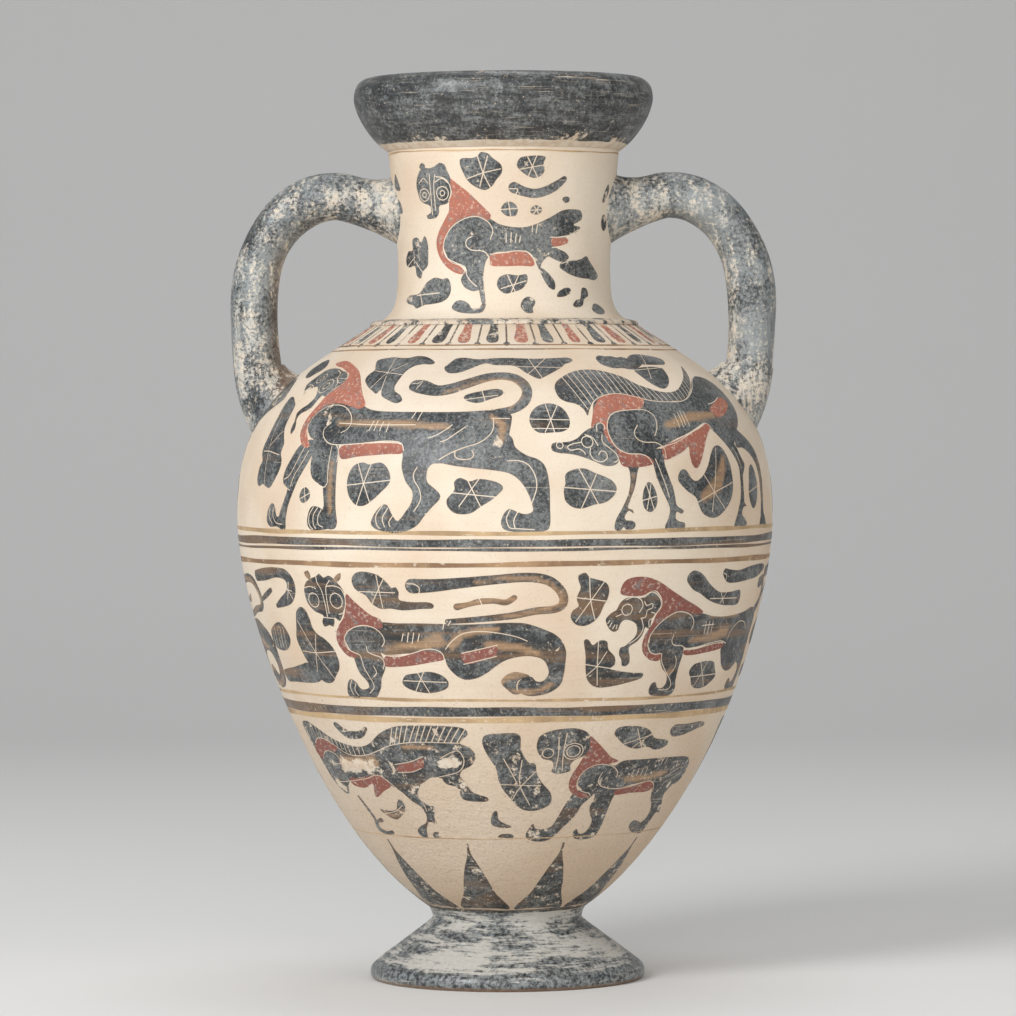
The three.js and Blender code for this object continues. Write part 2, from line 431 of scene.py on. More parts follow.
class Look:
    """A procedural material. Coordinates are the object's own, in metres."""

    def __init__(self, name):
        self.material = bpy.data.materials.new(name)
        self.material.use_nodes = True
        self.tree = self.material.node_tree
        self.shader = self.tree.nodes["Principled BSDF"]
        self.place = self.node("ShaderNodeTexCoord").outputs["Object"]

    def node(self, kind, inputs=None, **settings):
        made = self.tree.nodes.new(kind)
        for key, value in settings.items():
            setattr(made, key, value)
        for key, value in (inputs or {}).items():
            self.feed(made.inputs[key], value)
        return made

    def feed(self, socket, value):
        if isinstance(value, bpy.types.NodeSocket):
            self.tree.links.new(value, socket)
        else:
            socket.default_value = value

    def sum(self, kind, a, b=0.0):
        return self.node("ShaderNodeMath", {0: a, 1: b}, operation=kind).outputs[0]

    def split(self, vector):
        """The x, y and z of a vector."""
        return self.node("ShaderNodeSeparateXYZ", {0: vector}).outputs

    def stretched(self, x, y, z):
        made = self.node("ShaderNodeVectorMath", {0: self.place, 1: (x, y, z)}, operation="MULTIPLY")
        return made.outputs[0]

    def wheel(self, around, up):
        """Coordinates for marks drawn out round the pot: the direction from the axis, and the height."""
        flat = self.node("ShaderNodeVectorMath", {0: self.place, 1: (1, 1, 0)}, operation="MULTIPLY")
        way = self.node("ShaderNodeVectorMath", {0: flat.outputs[0]}, operation="NORMALIZE")
        wide = self.node("ShaderNodeVectorMath", {0: way.outputs[0], "Scale": around}, operation="SCALE")
        tall = self.node("ShaderNodeVectorMath", {0: self.place, 1: (0, 0, up)}, operation="MULTIPLY")
        made = self.node("ShaderNodeVectorMath", {0: wide.outputs[0], 1: tall.outputs[0]}, operation="ADD")
        return made.outputs[0]

    def noise(self, scale, detail=4.0, rough=0.55, vector=None, w=0.0):
        made = self.node(
            "ShaderNodeTexNoise",
            {"Vector": vector or self.place, "W": w, "Scale": scale, "Detail": detail, "Roughness": rough},
            noise_dimensions="4D",
        )
        return made.outputs["Fac"]

    def steps(self, value, low, high, to_low=0.0, to_high=1.0):
        """A value spread from low..high to to_low..to_high, smoothly and held at the ends."""
        made = self.node(
            "ShaderNodeMapRange",
            {"Value": value, "From Min": low, "From Max": high, "To Min": to_low, "To Max": to_high},
            interpolation_type="SMOOTHSTEP",
        )
        return made.outputs[0]

    def blend(self, share, below, above):
        inputs = {0: share, 6: self.colour(below), 7: self.colour(above)}
        return self.node("ShaderNodeMix", inputs, data_type="RGBA").outputs[2]

    @staticmethod
    def colour(value):
        return value if isinstance(value, bpy.types.NodeSocket) else (*value, 1.0)

    def value_of(self, name):
        return self.node("ShaderNodeAttribute", attribute_name=name).outputs["Fac"]

    def raised(self, height, depth, strength):
        inputs = {"Height": height, "Distance": depth, "Strength": strength}
        return self.node("ShaderNodeBump", inputs).outputs[0]

    def done(self, colour, rough, normal=None, specular=0.5):
        self.feed(self.shader.inputs["Base Color"], colour)
        self.feed(self.shader.inputs["Roughness"], rough)
        self.shader.inputs["Specular IOR Level"].default_value = specular
        if normal is not None:
            self.feed(self.shader.inputs["Normal"], normal)
        return self.material


CLAY_LIGHT = (0.82, 0.71, 0.57)
CLAY_WARM = (0.72, 0.56, 0.41)
CLAY_COOL = (0.76, 0.68, 0.57)
CLAY_LOW = (0.56, 0.42, 0.3)
CLAY_DIRT = (0.36, 0.27, 0.19)
SLIP_BLACK = (0.02, 0.021, 0.022)
SLIP_DARK = (0.026, 0.029, 0.031)
SLIP_BLUE = (0.215, 0.225, 0.22)
SLIP_BROWN = (0.2, 0.115, 0.06)
SLIP_THIN = (0.44, 0.27, 0.145)
SLIP_GREY = (0.27, 0.29, 0.29)
RED_DULL = (0.26, 0.095, 0.072)
RED_BRIGHT = (0.45, 0.165, 0.11)
LIME = (0.62, 0.59, 0.53)
LINE_THIN = (0.44, 0.28, 0.155)
LINE_THICK = (0.25, 0.15, 0.085)
OCHRE_THIN = (0.6, 0.42, 0.235)
OCHRE_THICK = (0.4, 0.27, 0.15)

# heights in metres between which a look changes, in the order it changes
LOW_BODY_TOP = 0.17  # the clay is darker and rougher below this
RED_TURNS_BRIGHT = (0.238, 0.254)
UNDER_MOUTH = (0.378, 0.37)
LIP = (0.3955, 0.4)
MOUTH_SLIP_ENDS = (MOUTH_BASE * MM + 0.0037, MOUTH_BASE * MM + 0.0031)
FOOT_RIM = (0.0085, 0.0065)
FOOT_EDGE = (0.0022, 0.0008)
LOWER_ROOT = (0.292, 0.262)
HANDLE_BEND = (0.33, 0.31)  # below it, the handles' inner side is rubbed
# distances in metres from the axis, likewise
UPPER_ROOT = (0.07, 0.052)
HANDLE_INNER_SIDE = (0.106, 0.096)


def clay_colour(look):
    """Cream clay: warm and cool patches, wheel streaks, fine specks, and darker towards the bottom, with more
    dark grain and stain there.
    """
    height = look.split(look.place)[2]
    # low_down: the clay turns darker and browner towards the bottom, below LOW_BODY_TOP
    low_down = look.steps(height, LOW_BODY_TOP, 0.07)
    patches = look.steps(look.noise(16, 3), 0.36, 0.66)
    cool = look.steps(look.noise(9, 3, w=3.0), 0.5, 0.72)
    base = look.blend(patches, CLAY_LIGHT, CLAY_WARM)
    base = look.blend(look.sum("MULTIPLY", cool, 0.6), base, CLAY_COOL)
    base = look.blend(look.sum("MULTIPLY", low_down, 0.5), base, CLAY_LOW)
    streaks = look.steps(look.noise(1.0, 3, 0.6, look.wheel(1.6, 620)), 0.52, 0.75)
    base = look.blend(look.sum("MULTIPLY", streaks, 0.22), base, CLAY_WARM)
    grain = look.steps(look.noise(900, 3, 0.6), 0.5, 0.74)
    reach = look.steps(low_down, 0, 1, 0.16, 0.5)
    base = look.blend(look.sum("MULTIPLY", grain, reach), base, CLAY_DIRT)
    stain = look.steps(look.noise(55, 5, 0.65, w=6.0), 0.56, 0.74)
    reach = look.steps(low_down, 0, 1, 0.22, 0.55)
    base = look.blend(look.sum("MULTIPLY", stain, reach), base, CLAY_WARM)
    specks = look.steps(look.noise(520, 2, 0.5, w=9.0), 0.72, 0.78)
    return look.blend(look.sum("MULTIPLY", specks, 0.75), base, CLAY_DIRT)


def clay_grain(look):
    """The bump of the clay: fine grain, wheel ridges, and pits on the lower body."""
    height = look.split(look.place)[2]
    low_down = look.steps(height, LOW_BODY_TOP, 0.05, 0.4, 2.2)
    fine = look.sum("MULTIPLY", look.noise(750, 4, 0.65), low_down)
    ridges = look.sum("MULTIPLY", look.noise(1.0, 3, 0.55, look.wheel(1.2, 330)), 0.8)
    coarse = look.sum("MULTIPLY", look.noise(210, 4, 0.6, w=2.0), low_down)
    return look.raised(look.sum("ADD", look.sum("ADD", fine, ridges), coarse), 0.0004, 0.8)


def clay_material():
    look = Look("cream_clay")
    rough = look.steps(look.noise(60, 3), 0.3, 0.7, 0.58, 0.8)
    return look.done(clay_colour(look), rough, clay_grain(look), 0.35)


def slip_material(name, worn, brown, scratched=0.0, rubbed=None, patch=70, painted=True, deep=0.0):
    """Slip with a fine grey grain.

    worn is the share lost in patches, brown the share fired brown, and deep how black it is. Painted shapes
    carry how far each point is from their edge, and where they were painted thin or are worn bare.
    """
    look = Look(name)
    broad = look.noise(55, 5, 0.65) if painted else look.noise(1.0, 5, 0.7, look.wheel(4, 420), w=6.0)
    tone = look.sum("MULTIPLY", broad, 0.42)
    tone = look.sum("ADD", tone, look.sum("MULTIPLY", look.noise(720, 4, 0.8, w=1.5), 0.58))
    base = look.blend(look.steps(tone, 0.42, 0.59), SLIP_DARK, SLIP_BLUE)
    blackened = look.steps(look.noise(170, 5, 0.72, w=9.0), 0.4, 0.6, 0.0, 2 * deep)
    base = look.blend(blackened, base, SLIP_BLACK)
    fired = look.steps(look.noise(1.0, 4, 0.6, look.wheel(1.4, 150)), 0.62 - brown * 0.35, 0.76 - brown * 0.3)
    fired = look.sum("MULTIPLY", fired, min(1.0, brown * 3.0))
    share = worn if rubbed is None else look.sum("ADD", rubbed(look), worn)
    if painted:
        ragged = look.noise(260, 4, 0.65)
        near_edge = look.sum("ADD", look.value_of("edge"), look.sum("MULTIPLY", ragged, 0.9))
        near_edge = look.sum("MULTIPLY", look.steps(near_edge, 1.0, 0.4), 0.55)
        streaked = look.steps(look.noise(1.0, 3, 0.7, look.wheel(3.0, 900)), 0.3, 0.62, 0.55, 1.0)
        thin = look.sum("MULTIPLY", look.value_of("thin"), streaked)
        fired = look.sum("MAXIMUM", fired, near_edge)
        share = look.sum("ADD", share, look.sum("MULTIPLY", look.value_of("bare"), 0.55))
    base = look.blend(look.sum("MULTIPLY", fired, 0.85), base, SLIP_BROWN)
    if painted:
        base = look.blend(look.sum("MULTIPLY", thin, 0.9), base, SLIP_THIN)
    clay = look.blend(look.steps(look.noise(300, 3), 0.4, 0.65), CLAY_LIGHT, CLAY_WARM)
    bar = look.sum("SUBTRACT", 0.74, look.sum("MULTIPLY", share, 0.34))
    lost = look.steps(look.sum("SUBTRACT", look.noise(patch, 7, 0.74, w=4.0), bar), 0.0, 0.05)
    flecks = look.steps(look.noise(640, 4, 0.75, w=7.0), 0.605 - worn * 0.1, 0.68)
    lost = look.sum("MAXIMUM", lost, look.sum("MULTIPLY", flecks, 0.75))
    if scratched:
        scratches = look.noise(1.0, 3, 0.6, look.wheel(3.2, 1500), w=5.0)
        gated = look.steps(look.noise(28, 3, 0.6, w=8.0), 0.36, 0.6)
        scratches = look.sum("MULTIPLY", look.steps(scratches, 0.66 - 0.1 * scratched, 0.74), gated)
        lost = look.sum("MAXIMUM", lost, look.sum("MULTIPLY", scratches, 0.8))
    base = look.blend(look.sum("MULTIPLY", lost, 0.85), base, clay)
    rough = look.steps(look.noise(120, 3, w=1.0), 0.3, 0.7, 0.34, 0.5)
    rough = look.sum("ADD", rough, look.sum("MULTIPLY", lost, 0.3))
    height = look.sum("SUBTRACT", look.sum("MULTIPLY", look.noise(500, 3, 0.6), 0.25), lost)
    return look.done(base, rough, look.raised(height, 0.00009, 0.7), 0.5)


def mouth_rubbing(look):
    """The mouth's lower edge and its lip are worn most, and the slip stops short of the neck."""
    z = look.split(look.place)[2]
    under = look.steps(z, *UNDER_MOUTH, 0.0, 0.45)
    lip = look.steps(z, *LIP, 0.0, 0.3)
    ragged = look.sum("ADD", z, look.sum("MULTIPLY", look.noise(90, 3, w=5.0), 0.002))
    slip_end = look.steps(ragged, *MOUTH_SLIP_ENDS, 0.0, 1.8)
    return look.sum("ADD", look.sum("ADD", under, slip_end), lip)


def handle_material():
    """Slip worn to a blue-grey grain, with cream along the rods, most on the inner side and at the roots."""
    look = Look("slip_handles")
    x, _, z = look.split(look.place)
    tone = look.sum("MULTIPLY", look.noise(38, 5, 0.65), 0.5)
    tone = look.sum("ADD", tone, look.sum("MULTIPLY", look.noise(700, 4, 0.75), 0.5))
    base = look.blend(look.steps(tone, 0.42, 0.58), SLIP_DARK, SLIP_GREY)
    out = look.sum("ABSOLUTE", x)
    inner_side = look.sum("MULTIPLY", look.steps(out, *HANDLE_INNER_SIDE), look.steps(z, *HANDLE_BEND))
    roots = look.sum("MAXIMUM", look.steps(z, *LOWER_ROOT), look.steps(out, *UPPER_ROOT))
    on_right = look.steps(x, -0.01, 0.01, 0.35, 0.8)
    brown = look.sum("MULTIPLY", inner_side, look.steps(x, 0.01, -0.01, 0.0, 0.7))
    base = look.blend(brown, base, SLIP_BROWN)
    share = look.sum("MAXIMUM", look.sum("MULTIPLY", inner_side, on_right), look.sum("MULTIPLY", roots, 0.5))
    grain = look.noise(620, 5, 0.75)
    drawn = look.noise(1.0, 5, 0.65, look.stretched(210, 210, 34))
    cloud = look.noise(60, 5, 0.7, w=4.0)
    mixed = look.sum("ADD", look.sum("MULTIPLY", grain, 0.42), look.sum("MULTIPLY", drawn, 0.3))
    mixed = look.sum("ADD", mixed, look.sum("MULTIPLY", cloud, 0.28))
    bar = look.sum("SUBTRACT", 0.52, look.sum("MULTIPLY", share, 0.06))
    lost = look.steps(look.sum("SUBTRACT", mixed, bar), -0.025, 0.05)
    cream = look.blend(look.steps(look.noise(240, 3), 0.4, 0.62), CLAY_LIGHT, LIME)
    base = look.blend(look.sum("MULTIPLY", lost, 0.78), base, cream)
    rough = look.sum("ADD", 0.4, look.sum("MULTIPLY", lost, 0.3))
    return look.done(base, rough, look.raised(mixed, 0.00025, 0.7), 0.5)


def foot_material():
    """Dark slip with whitish wear drawn out round the foot, a glossier rim and a brown lower edge."""
    look = Look("slip_foot")
    z = look.split(look.place)[2]
    base = look.blend(look.steps(look.noise(500, 5, 0.75, w=6.0), 0.4, 0.62), SLIP_DARK, SLIP_GREY)
    wide = look.noise(1.0, 4, 0.6, look.wheel(1.5, 150), w=2.0)
    fine = look.noise(1.0, 4, 0.7, look.wheel(3.0, 800))
    mixed = look.sum("ADD", look.sum("MULTIPLY", wide, 0.5), look.sum("MULTIPLY", fine, 0.5))
    grain = look.sum("MULTIPLY", look.sum("SUBTRACT", look.noise(500, 4, 0.7), 0.5), 0.22)
    mixed = look.sum("ADD", mixed, grain)
    on_rim = look.steps(z, *FOOT_RIM)
    bar = look.sum("ADD", 0.475, look.sum("MULTIPLY", on_rim, 0.09))
    lost = look.steps(look.sum("SUBTRACT", mixed, bar), -0.03, 0.07)
    base = look.blend(look.sum("MULTIPLY", lost, 0.8), base, LIME)
    edge = look.steps(z, *FOOT_EDGE)
    base = look.blend(look.sum("MULTIPLY", edge, 0.8), base, SLIP_BROWN)
    rough = look.sum("ADD", look.steps(on_rim, 0, 1, 0.46, 0.3), look.sum("MULTIPLY", lost, 0.3))
    return look.done(base, rough, look.raised(mixed, 0.0003, 0.7), 0.5)


def red_material(name, worn):
    """Added red: orange-brown high on the shoulder, duller below, with slip and clay showing through."""
    look = Look(name)
    height = look.split(look.place)[2]
    ragged = look.sum("ADD", height, look.sum("MULTIPLY", look.noise(70, 4), 0.02))
    bright = look.steps(ragged, *RED_TURNS_BRIGHT)
    base = look.blend(bright, RED_DULL, RED_BRIGHT)
    darker = look.steps(look.noise(90, 5, 0.65), 0.45, 0.68)
    base = look.blend(look.sum("MULTIPLY", darker, 0.45), base, RED_DULL)
    fine = look.steps(look.noise(620, 4, 0.7), 0.6 - 0.16 * worn, 0.66)
    base = look.blend(look.sum("MULTIPLY", fine, 0.3 + 0.4 * worn), base, CLAY_LIGHT)
    black = look.steps(look.noise(260, 5, 0.75, w=3.0), 0.53, 0.65)
    base = look.blend(look.sum("MULTIPLY", black, 0.8), base, SLIP_BLUE)
    return look.done(base, 0.72, look.raised(look.noise(500, 3), 0.00007, 0.6), 0.3)


def line_material(name, thinnest, thickest):
    """Slip painted so thin that it fired brown, and skips in places."""
    look = Look(name)
    base = look.blend(look.steps(look.noise(40, 4, 0.6), 0.4, 0.65), thinnest, thickest)
    skips = look.steps(look.noise(1.0, 5, 0.7, look.wheel(30, 500)), 0.56, 0.68)
    base = look.blend(look.sum("MULTIPLY", skips, 0.8), base, CLAY_LIGHT)
    return look.done(base, 0.6, None, 0.3)


CLAY = clay_material()
RED = red_material("added_red", 0.5)
RED_WORN = red_material("added_red_worn", 1.0)
LINE = line_material("thin_slip", LINE_THIN, LINE_THICK)
OCHRE = line_material("thinnest_slip", OCHRE_THIN, OCHRE_THICK)
SLIP = {
    "crisp": slip_material("slip_crisp", 0.16, 0.18, scratched=0.3, deep=0.06),
    "streaky": slip_material("slip_streaky", 0.26, 0.38, scratched=0.5, patch=120, deep=0.42),
    "worn": slip_material("slip_worn", 0.54, 0.22, scratched=0.8, patch=190, deep=0.42),
    "band": slip_material("slip_band", 0.3, 0.45, scratched=0.8, deep=0.2),
    "speckled": slip_material("slip_speckled", 0.42, 0.0, scratched=0.2, patch=260),
    "patchy": slip_material("slip_patchy", 0.62, 0.02, patch=150),
}
MOUTH_SLIP = slip_material(
    "slip_mouth", 0.2, 0.08, scratched=1.0, rubbed=mouth_rubbing, painted=False, deep=0.4,
)
COLLAR_SLIP = slip_material("slip_collar", 0.85, 0.2, scratched=0.5, patch=110, painted=False, deep=0.2)
HANDLE_SLIP = handle_material()
FOOT_SLIP = foot_material()


# ---------------------------------------------------------------- the turned walls

def pairs(curve):
    return [tuple(point) for point in curve]


def lining(wall, high_z, low_z, count):
    """The inside of a wall, going down, a wall's thickness in from the outside."""
    r, z = wall.at(np.linspace(wall.arc_at(high_z), wall.arc_at(low_z), count), -WALL)
    return list(zip(r, z))


mouth = turned(
    "mouth_ring",
    pairs(MOUTH)
    + [(NECK_R + 6.8, HEIGHT), (NECK_R + 4.8, HEIGHT - 2), (NECK_R + 3, HEIGHT - 10)]
    + [(NECK_R - 0.5, HEIGHT - 17), (NECK_R - 2, MOUTH_BASE + 3), (NECK_R - 2, MOUTH_BASE)],
    MOUTH_SLIP,
)
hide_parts("mouth")

neck = turned(
    "neck_wall",
    pairs(NECK)
    + [(NECK_R - 2, MOUTH_BASE), (NECK_R - 4.5, MOUTH_BASE - 26), (NECK_R - WALL, NECK_WAIST + 8)]
    + [(NECK_R - WALL, NECK_WAIST - 14), (NECK_R - WALL, NECK_BASE + 1)],
    CLAY,
)
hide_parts("neck")

collar_line = bezier((NECK_R + 12.5, NECK_BASE + 0.1), (NECK_R + 13.1, NECK_BASE + 2),
                     (NECK_R + 10, NECK_BASE + 2.3), (NECK_R + 7.6, NECK_BASE + 2.7), 12)
collar = turned(
    "neck_collar_ring", [(NECK_R + 8.2, NECK_BASE + 0.1)] + pairs(collar_line), COLLAR_SLIP,
)
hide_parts("neck_collar")

shoulder = turned(
    "shoulder_wall",
    pairs(SHOULDER)
    + [(NECK_R - WALL, NECK_BASE), (NECK_R - WALL, NECK_BASE - 5)]
    + lining(Profile(SHOULDER), NECK_BASE - 6, SEAM, 14),
    CLAY,
)
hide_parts("shoulder")

belly = turned(
    "belly_wall",
    [(0, FOOT_TOP + 2.2)]
    + pairs(BELLY)
    + lining(Profile(BELLY), SEAM, FOOT_TOP + 14, 18)
    + [(20, FOOT_TOP + 9.5), (0, FOOT_TOP + 9)],
    CLAY, on_axis=True,
)
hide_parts("belly")

foot = turned(
    "conical_foot",
    [(0, 18), (24, 17), (42, 9), (49, 1), (50, 0)] + pairs(FOOT) + [(0, FOOT_TOP + 2.1)],
    FOOT_SLIP, on_axis=True,
)
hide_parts("foot")


# ---------------------------------------------------------------- the handles

HANDLE_LINE = [  # from the neck, as (inward of the handle's reach, below the mouth's top)
    (84.2, 63.2), (75.2, 60.2), (66.2, 57.2), (57.2, 54.2), (47.2, 52.2), (35.7, 54.4), (25, 61.4),
    (17.4, 71.5), (12.9, 83), (11, 96), (10.8, 110), (11.4, 123), (13.2, 136), (16.8, 148), (22.7, 160),
]
RIGHT_NEARER = 1  # the right handle stands this much closer to the pot
LINE_SAMPLE = 1.6
ROD_DEEP = 20.8
ROD_WIDE = 23
ROUND_STEPS = 64
LUTING_TALL = 14
LUTING_WIDE = 5.5
LUTING_RINGS = {"upper": (0, 24), "lower": (-22, None)}  # of the rod's rings, from the neck
ROOT_DEPTH = 2.5
NECK_FROM = NECK_BASE + 8  # a handle's upper root is above this height, and its lower root below


def wall_gap(points):
    """How far outside the pot's wall each point is, in millimetres."""
    r = np.hypot(points[:, 0], points[:, 1])
    on_neck = points[:, 2] > NECK_FROM
    wall = np.where(on_neck, NECK_WALL.radius_at(points[:, 2]), BODY_WALL.radius_at(points[:, 2]))
    lean = np.where(on_neck, 1.0, np.interp(points[:, 2], BODY_WALL.points[:, 1], BODY_WALL.out[:, 0]))
    return (r - wall) * lean


def settled(ring, along):
    """Draws a ring's points back along the rod to where they are just under the wall's surface."""
    ring = ring.copy()
    deep = wall_gap(ring) < -ROOT_DEPTH
    for _ in range(6):
        gap = wall_gap(ring)
        slope = (wall_gap(ring + along) - wall_gap(ring - along)) / 2
        step = (-ROOT_DEPTH - gap) / np.where(np.abs(slope) < 0.2, 0.2, slope)
        ring += along * np.where(deep, step, 0)[:, None]
    return ring


def rod(side, first=0, last=None, added_clay=None):
    """Rings of points along the handle. added_clay says how much clay goes on at each gap to the wall."""
    reach = HANDLE_REACH - (RIGHT_NEARER if side > 0 else 0)
    line = smooth([(reach - inward, HEIGHT - below) for inward, below in HANDLE_LINE], False, LINE_SAMPLE)
    along = np.gradient(line, axis=0)
    along /= np.linalg.norm(along, axis=1)[:, None]
    turn = np.arange(ROUND_STEPS) * 2 * math.pi / ROUND_STEPS
    rings = []
    for k, ((x, z), (ax, az)) in enumerate(zip(line[first:last], along[first:last])):
        lumps = 0.25 * np.sin(turn * 2 + k * 0.11 + side) + 0.18 * np.sin(turn * 3 - k * 0.17)
        lumps += 0.2 * math.sin(k * 0.23)
        deep, wide = (ROD_DEEP / 2 + lumps) * np.cos(turn), (ROD_WIDE / 2 + lumps) * np.sin(turn)
        ring = np.column_stack([x + deep * -az, wide, z + deep * ax])
        if added_clay is not None:
            out = np.column_stack([np.cos(turn) * -az, np.sin(turn), np.cos(turn) * ax])
            outer, under = np.maximum(0, np.cos(turn)), np.maximum(0, -np.cos(turn))
            at_lower_root = -az > 0.5
            share = 1 - outer**0.7 + 1.3 * under**2 if at_lower_root else 1 - 0.65 * under
            ring += out * (0.05 + added_clay(wall_gap(ring)) * share)[:, None]
        rings.append(settled(ring, np.array([ax, 0, az])) * np.array([side, 1, 1]))
    return np.array(rings)


def swept(name, rings, node, side):
    """A closed skin over rings of points. The left side is a mirror image, so its faces are turned round."""
    count, around = rings.shape[:2]
    faces = []
    for k in range(count - 1):
        for j in range(around):
            n = (j + 1) % around
            quad = (k * around + j, k * around + n, (k + 1) * around + n, (k + 1) * around + j)
            faces.append(quad if side > 0 else quad[::-1])
    start, end = tuple(range(around)), tuple((count - 1) * around + j for j in range(around))
    faces += [start[::-1], end] if side > 0 else [start, end[::-1]]
    made = make_object(name, rings.reshape(-1, 3), faces, HANDLE_SLIP)
    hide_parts(node)


def luting_clay(gap):
    """Clay worked into the corner: widest at the wall, and feathered out along the rod."""
    return LUTING_WIDE * np.clip(1 - np.maximum(gap, -0.5) / LUTING_TALL, 0, 1.05) ** 2.2


for side, word in ((-1, "left"), (1, "right")):
    swept(f"rod_handle_{word}", rod(side), f"handle_{word}", side)
    for place, (first, last) in LUTING_RINGS.items():
        rings = rod(side, first, last, luting_clay)
        swept(f"{place}_luting_{word}", rings, f"handle_{word}_{place}_luting", side)


# ---------------------------------------------------------------- the painted figures

def ring(u, v, radius):
    """A scratched circle."""
    turn = np.radians(np.arange(0, 361, 45))
    return list(zip(u + radius * np.sin(turn), v + radius * np.cos(turn)))


def bristles(outer, inner_line, count, lead=0.0):
    """Scratches across a crest, from one edge to the other. A lead starts them further on along the crest."""
    share = np.linspace(0, 1, count)
    ends = []
    for line, start in ((outer, lead), (inner_line, 0)):
        p = smooth(line, False)
        at = np.linspace(0, 1, len(p))
        along = start + (1 - start) * share
        ends.append(np.column_stack([np.interp(along, at, p[:, 0]), np.interp(along, at, p[:, 1])]))
    return [[tuple(a), tuple(b)] for a, b in zip(*ends)]


def together(*figures):
    """Several figures as one."""
    made = {}
    for figure in figures:
        for key, value in figure.items():
            made.setdefault(key, []).extend(value)
    return made


